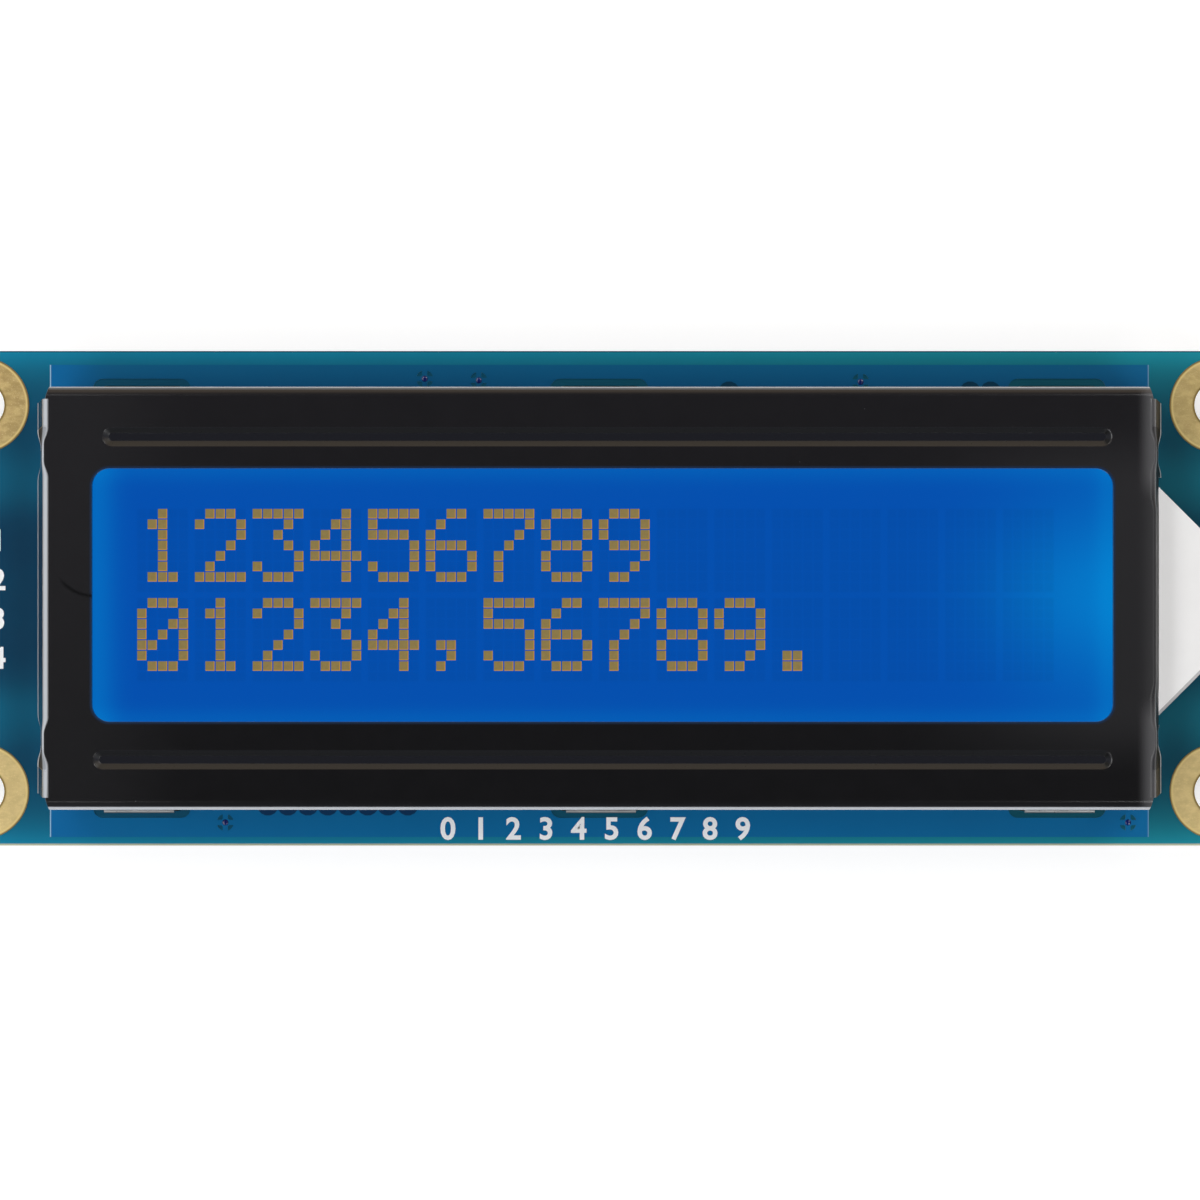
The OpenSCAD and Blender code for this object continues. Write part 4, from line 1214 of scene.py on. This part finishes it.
tracks = [
    [(-31.0, -3), (-28.6, -3), (-27.7, -2.1), (-26.45, -2.1)],
    [(-31.0, -1), (-29.6, -1), (-28.3, 0.3), (-25.5, 0.3)],
    [(-31.0, 1), (-29.6, 1), (-28.1, 2.5), (-28.1, 3.2), (-25.5, 5.8), (-25.5, 6.4)],
    [(-31.0, 3), (-30.5, 3.5), (-30.5, 4.6)],
    [(-28.3, 5), (-27.2, 5), (-26.45, 5.75), (-26.45, 6.4)],
    [(-24.55, -2.1), (-23.9, -1.4), (-18.7, -1.4), (-18.3, -0.975), (-16.6, -0.975)],
    [(-24.55, 3.0), (-23.5, 4.05), (-21.9, 4.5)],
    [(-19.5, 4.5), (-18.7, 4.5), (-17.2, 3.0), (-17.2, 2.7), (-16.6, 2.275)],
    [(-19.5, 6.5), (-15.3, 6.5), (-14.3, 7.5)],
    [(-19.5, -4.5), (-18.7, -4.5), (-17.2, -3.0), (-17.2, -2.7), (-16.6, -2.275)],
    [(-19.5, -6.5), (-15.3, -6.5), (-14.3, -7.5)],
    [(-25.5, -5.0), (-25.5, -6.5), (-21.9, -6.5)],
    [(12.2, 2.0), (14.2, 4.0), (16.6, 4.0)],
    [(12.2, -2.0), (14.2, -4.0), (16.6, -4.0)],
    [(19.4, 4.0), (21.4, 2.0), (32.6, 2.0), (33.6, 3.0), (33.9, 3.0)],
    [(19.4, -4.0), (21.4, -2.0), (32.6, -2.0), (33.6, -3.0), (33.9, -3.0)],
    [(36.2, 3.0), (39.2, 3.0), (40.5, 1.7), (41.0, 1.7)],
    [(36.2, -3.0), (39.9, -3.0), (40.8, -2.11), (41.0, -2.11)],
    [(12.4, 0.65), (38.6, 0.65), (38.8, 0.43), (41.0, 0.43)],
    [(12.4, -0.65), (38.6, -0.65), (38.8, -0.84), (41.0, -0.84)],
]
tracks += [[(-9.4, y), (-7.6, y), (-6.6, 1.3 * y), (0.4, 1.3 * y)] for y in driver_ys]
DOME_EDGE = 6.3
for side in (-1, 1):
    for near, wide in fan_xs:
        start = math.sqrt(DOME_EDGE ** 2 - (near - DOME_X) ** 2)
        fan = ((near, start), (near, 7.2), (wide, 9.2), (wide, FAN_VIA_Y))
        tracks.append([(x, side * y) for x, y in fan])
TRACK_W = 0.2
GAP_W = 0.46
TRACK_ROUND = 0.3
strip_kinds = (("track_gaps", dark_gap, GAP_W, 0.008), ("rear_tracks", rear_mask, TRACK_W, 0.03))
for name, finish, width, depth in strip_kinds:
    section = {"Width": width * MM, "Thickness": 2 * depth * MM, "Corner": TRACK_ROUND * MM}
    strips = grown(name, make_strip_tree(name, finish), section, *joined(tracks, 0.0))
    set_on(strips)
print("tracks:", len(tracks))

# %% [markdown]
# ### Bare steel beside the slots
#
# Where the tabs leave the long wall the sheet was sheared, and a narrow bare lip of
# steel stands out over each slot. It is a strip on a short path, like the tracks.

# %% Lips of the tabs
LIP_L = 4.5
LIP_Y = -13.7
lip_paths = [[(x - LIP_L / 2, LIP_Y), (x + LIP_L / 2, LIP_Y)] for x in (-29.7, 0.1, 29.7)]
lips = grown("tab_lips", make_strip_tree("lips", tin), {"Width": 0.28 * MM, "Thickness": 0.5 * MM},
             *joined(lip_paths, top_mm + 0.5))
set_on(lips)

# %% [markdown]
# ## Printed numerals
#
# White ink names the pins and counts along the lower edge. A Text object gives the
# outlines; a little extrusion gives the ink its thickness. It is turned into a mesh
# before it is put in its place, so that the finished piece sits at the origin.

# %% Ink on the board
def ink_finish():
    made, tree, look = material("white_ink", 0.5, 0.3)
    noise = grain(tree, 0.1)
    feed(look["Base Color"], mix_of(noise["Fine"], (236, 240, 244), (250, 250, 250)))
    bump(look, noise["Fine"], 0.004)
    return made


ink = ink_finish()
INK_T = 0.015 * MM
CAP_SHARE = 0.73
BOLD = 0.05 * MM


def digit_mesh(text, height):
    """A flat extruded numeral string as a mesh, with cap height as given."""
    curve = bpy.data.curves.new("ink", "FONT")
    curve.body = text
    curve.size = height / CAP_SHARE
    curve.offset = BOLD
    curve.extrude = INK_T / 2
    curve.resolution_u = 4
    curve.align_x = "CENTER"
    holder = bpy.data.objects.new("ink", curve)
    bpy.context.collection.objects.link(holder)
    view = bpy.context.evaluated_depsgraph_get()
    mesh = bpy.data.meshes.new_from_object(holder.evaluated_get(view))
    bpy.data.objects.remove(holder)
    return mesh


def printed(name, marks, mirrored=False):
    """One ink piece from (text, x, y, z, height) marks in millimetres."""
    whole = bmesh.new()
    side = -1 if mirrored else 1
    for text, x, y, z, height in marks:
        mesh = digit_mesh(text, height * MM)
        for vertex in mesh.vertices:
            vertex.co = (side * vertex.co.x + x * MM, vertex.co.y + y * MM, side * vertex.co.z + z * MM)
        whole.from_mesh(mesh)
        bpy.data.meshes.remove(mesh)
    bmesh.ops.recalc_face_normals(whole, faces=whole.faces)
    mesh = bpy.data.meshes.new(name)
    whole.to_mesh(mesh)
    whole.free()
    piece = bpy.data.objects.new(name, mesh)
    bpy.context.collection.objects.link(piece)
    mesh.materials.append(ink)
    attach(piece, "root")
    return piece


ink_lift = INK_T / MM / 2
ink_z = box_mm("circuit_board")[1][2] + ink_lift
COPPER_T = 0.04
SCALE_X, SCALE_Y, SCALE_PITCH, SCALE_H = -9.8, -15.57, 2.12, 1.45
PIN_MARK_X, PIN_MARK_H, PIN_PITCH = -38.9, 1.4, 2.54
scale_marks = [(str(i), SCALE_X + i * SCALE_PITCH, SCALE_Y, ink_z + COPPER_T, SCALE_H) for i in range(10)]
pin_ys = row(0.0, -PIN_PITCH, 4)
pin_marks = [(str(i + 1), PIN_MARK_X, y - PIN_MARK_H / 2, ink_z, PIN_MARK_H) for i, y in enumerate(pin_ys)]
front_ink = printed("front_numerals", scale_marks + pin_marks)
rear_marks = [(str(i + 1), -29.9, low[1] - 1.2, -ink_lift, 0.9) for i, (low, high) in enumerate(socket_pins)]
rear_ink = printed("rear_numerals", rear_marks, mirrored=True)
print("ink faces:", len(front_ink.data.polygons) + len(rear_ink.data.polygons))

# %% Printed outlines at the back
def frame_round(name, margin_x, margin_y):
    """A closed path round a part."""
    (left, lower, _), (right, upper, _) = box_mm(name)
    left, right = left - margin_x, right + margin_x
    lower, upper = lower - margin_y, upper + margin_y
    return [(left, lower), (right, lower), (right, upper), (left, upper), (left, lower)]


outlines = [frame_round(name, 0.55, 0.3) for name in numbered("resistor", 6) + numbered("capacitor", 5)]
outlines += [frame_round("lamp_driver", 0.75, 0.35), frame_round("regulator", 0.3, 0.6)]
outlines += [frame_round(name, 0.3, 0.6) for name in numbered("level_shifter", 2)]
outlines.append(frame_round("socket_housing", 0.25, 1.3)[1:] + [(-32.75, -6.25)])
RING_R = 7.0
RING_STEPS = 72
turns = [math.tau * i / RING_STEPS for i in range(RING_STEPS + 1)]
outlines.append([(DOME_X + RING_R * math.cos(turn), RING_R * math.sin(turn)) for turn in turns])
print_tree = make_strip_tree("printed_outlines", ink)
drawn = grown("rear_outlines", print_tree, {"Width": 0.13 * MM, "Thickness": 0.07 * MM, "Corner": 0.0},
              *joined(outlines, 0.0))
set_on(drawn)

# %% [markdown]
# ## Studio
#
# A pale floor under a soft, even light shows colours as they are. Two long soft
# boxes at the sides add bright lines along the bends of the bezel, beside the
# highlights painted into its folds, and the ceiling stays dim, because the flat
# black face mirrors it.

# %% Floor
floor_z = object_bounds()[0][2]
bpy.ops.mesh.primitive_plane_add(size=6, location=(0, 0, floor_z))
floor = bpy.context.object
floor.name = "floor"
white = (1, 1, 1, 1)
paper, tree, look = material("paper", 0.9, 0.0, Base_Color=linear(196, 196, 196), Emission_Color=white)
path = add(tree, "ShaderNodeLightPath").outputs
seen = higher(path["Is Camera Ray"], higher(path["Is Glossy Ray"], path["Is Transmission Ray"]))
feed(look["Emission Strength"], times(seen, 0.62))
floor.data.materials.append(paper)
print("floor at mm:", round(floor_z / MM, 2))

# %% World and lamps
world = bpy.data.worlds.new("studio")
bpy.context.scene.world = world
world.use_nodes = True
tree = world.node_tree
direction = add(tree, "ShaderNodeTexCoord").outputs["Generated"]
sky_y, height = add(tree, "ShaderNodeSeparateXYZ", {0: direction}).outputs[1:]
low_sky = mix_of(smooth_step(sky_y, -0.1, 0.6), (0.16, 0.17, 0.19, 1), (0.62, 0.50, 0.38, 1))
sky = mix_of(smooth_step(height, 0.3, 0.9), low_sky, (0.075, 0.075, 0.08, 1))
feed(tree.nodes["Background"].inputs["Color"], sky)


def soft_box(name, place, size_x, size_y, power, tint=(1, 1, 1)):
    """A rectangular lamp at that place, aimed at the module."""
    lamp = bpy.data.lights.new(name, "AREA")
    lamp.shape = "RECTANGLE"
    lamp.size = size_x
    lamp.size_y = size_y
    lamp.energy = power
    lamp.color = tint
    holder = bpy.data.objects.new(name, lamp)
    holder.location = place
    holder.rotation_euler = (-Vector(place)).to_track_quat("-Z", "Y").to_euler()
    bpy.context.collection.objects.link(holder)


soft_box("left_wall", (-0.47, 0, 0.3), 0.3, 0.8, 1.75)
soft_box("right_box", (0.3, 0, 0.52), 0.3, 0.3, 0.12)
for side_x, side_y, power in ((-1, -1, 1.9), (1, -1, 2.4), (-1, 1, 1.6), (1, 1, 2.0)):
    soft_box(f"fill_{side_x}_{side_y}", (0.4 * side_x, 0.42 * side_y, 0.75), 0.35, 0.35, power)

bpy.context.scene.view_settings.view_transform = "Standard"
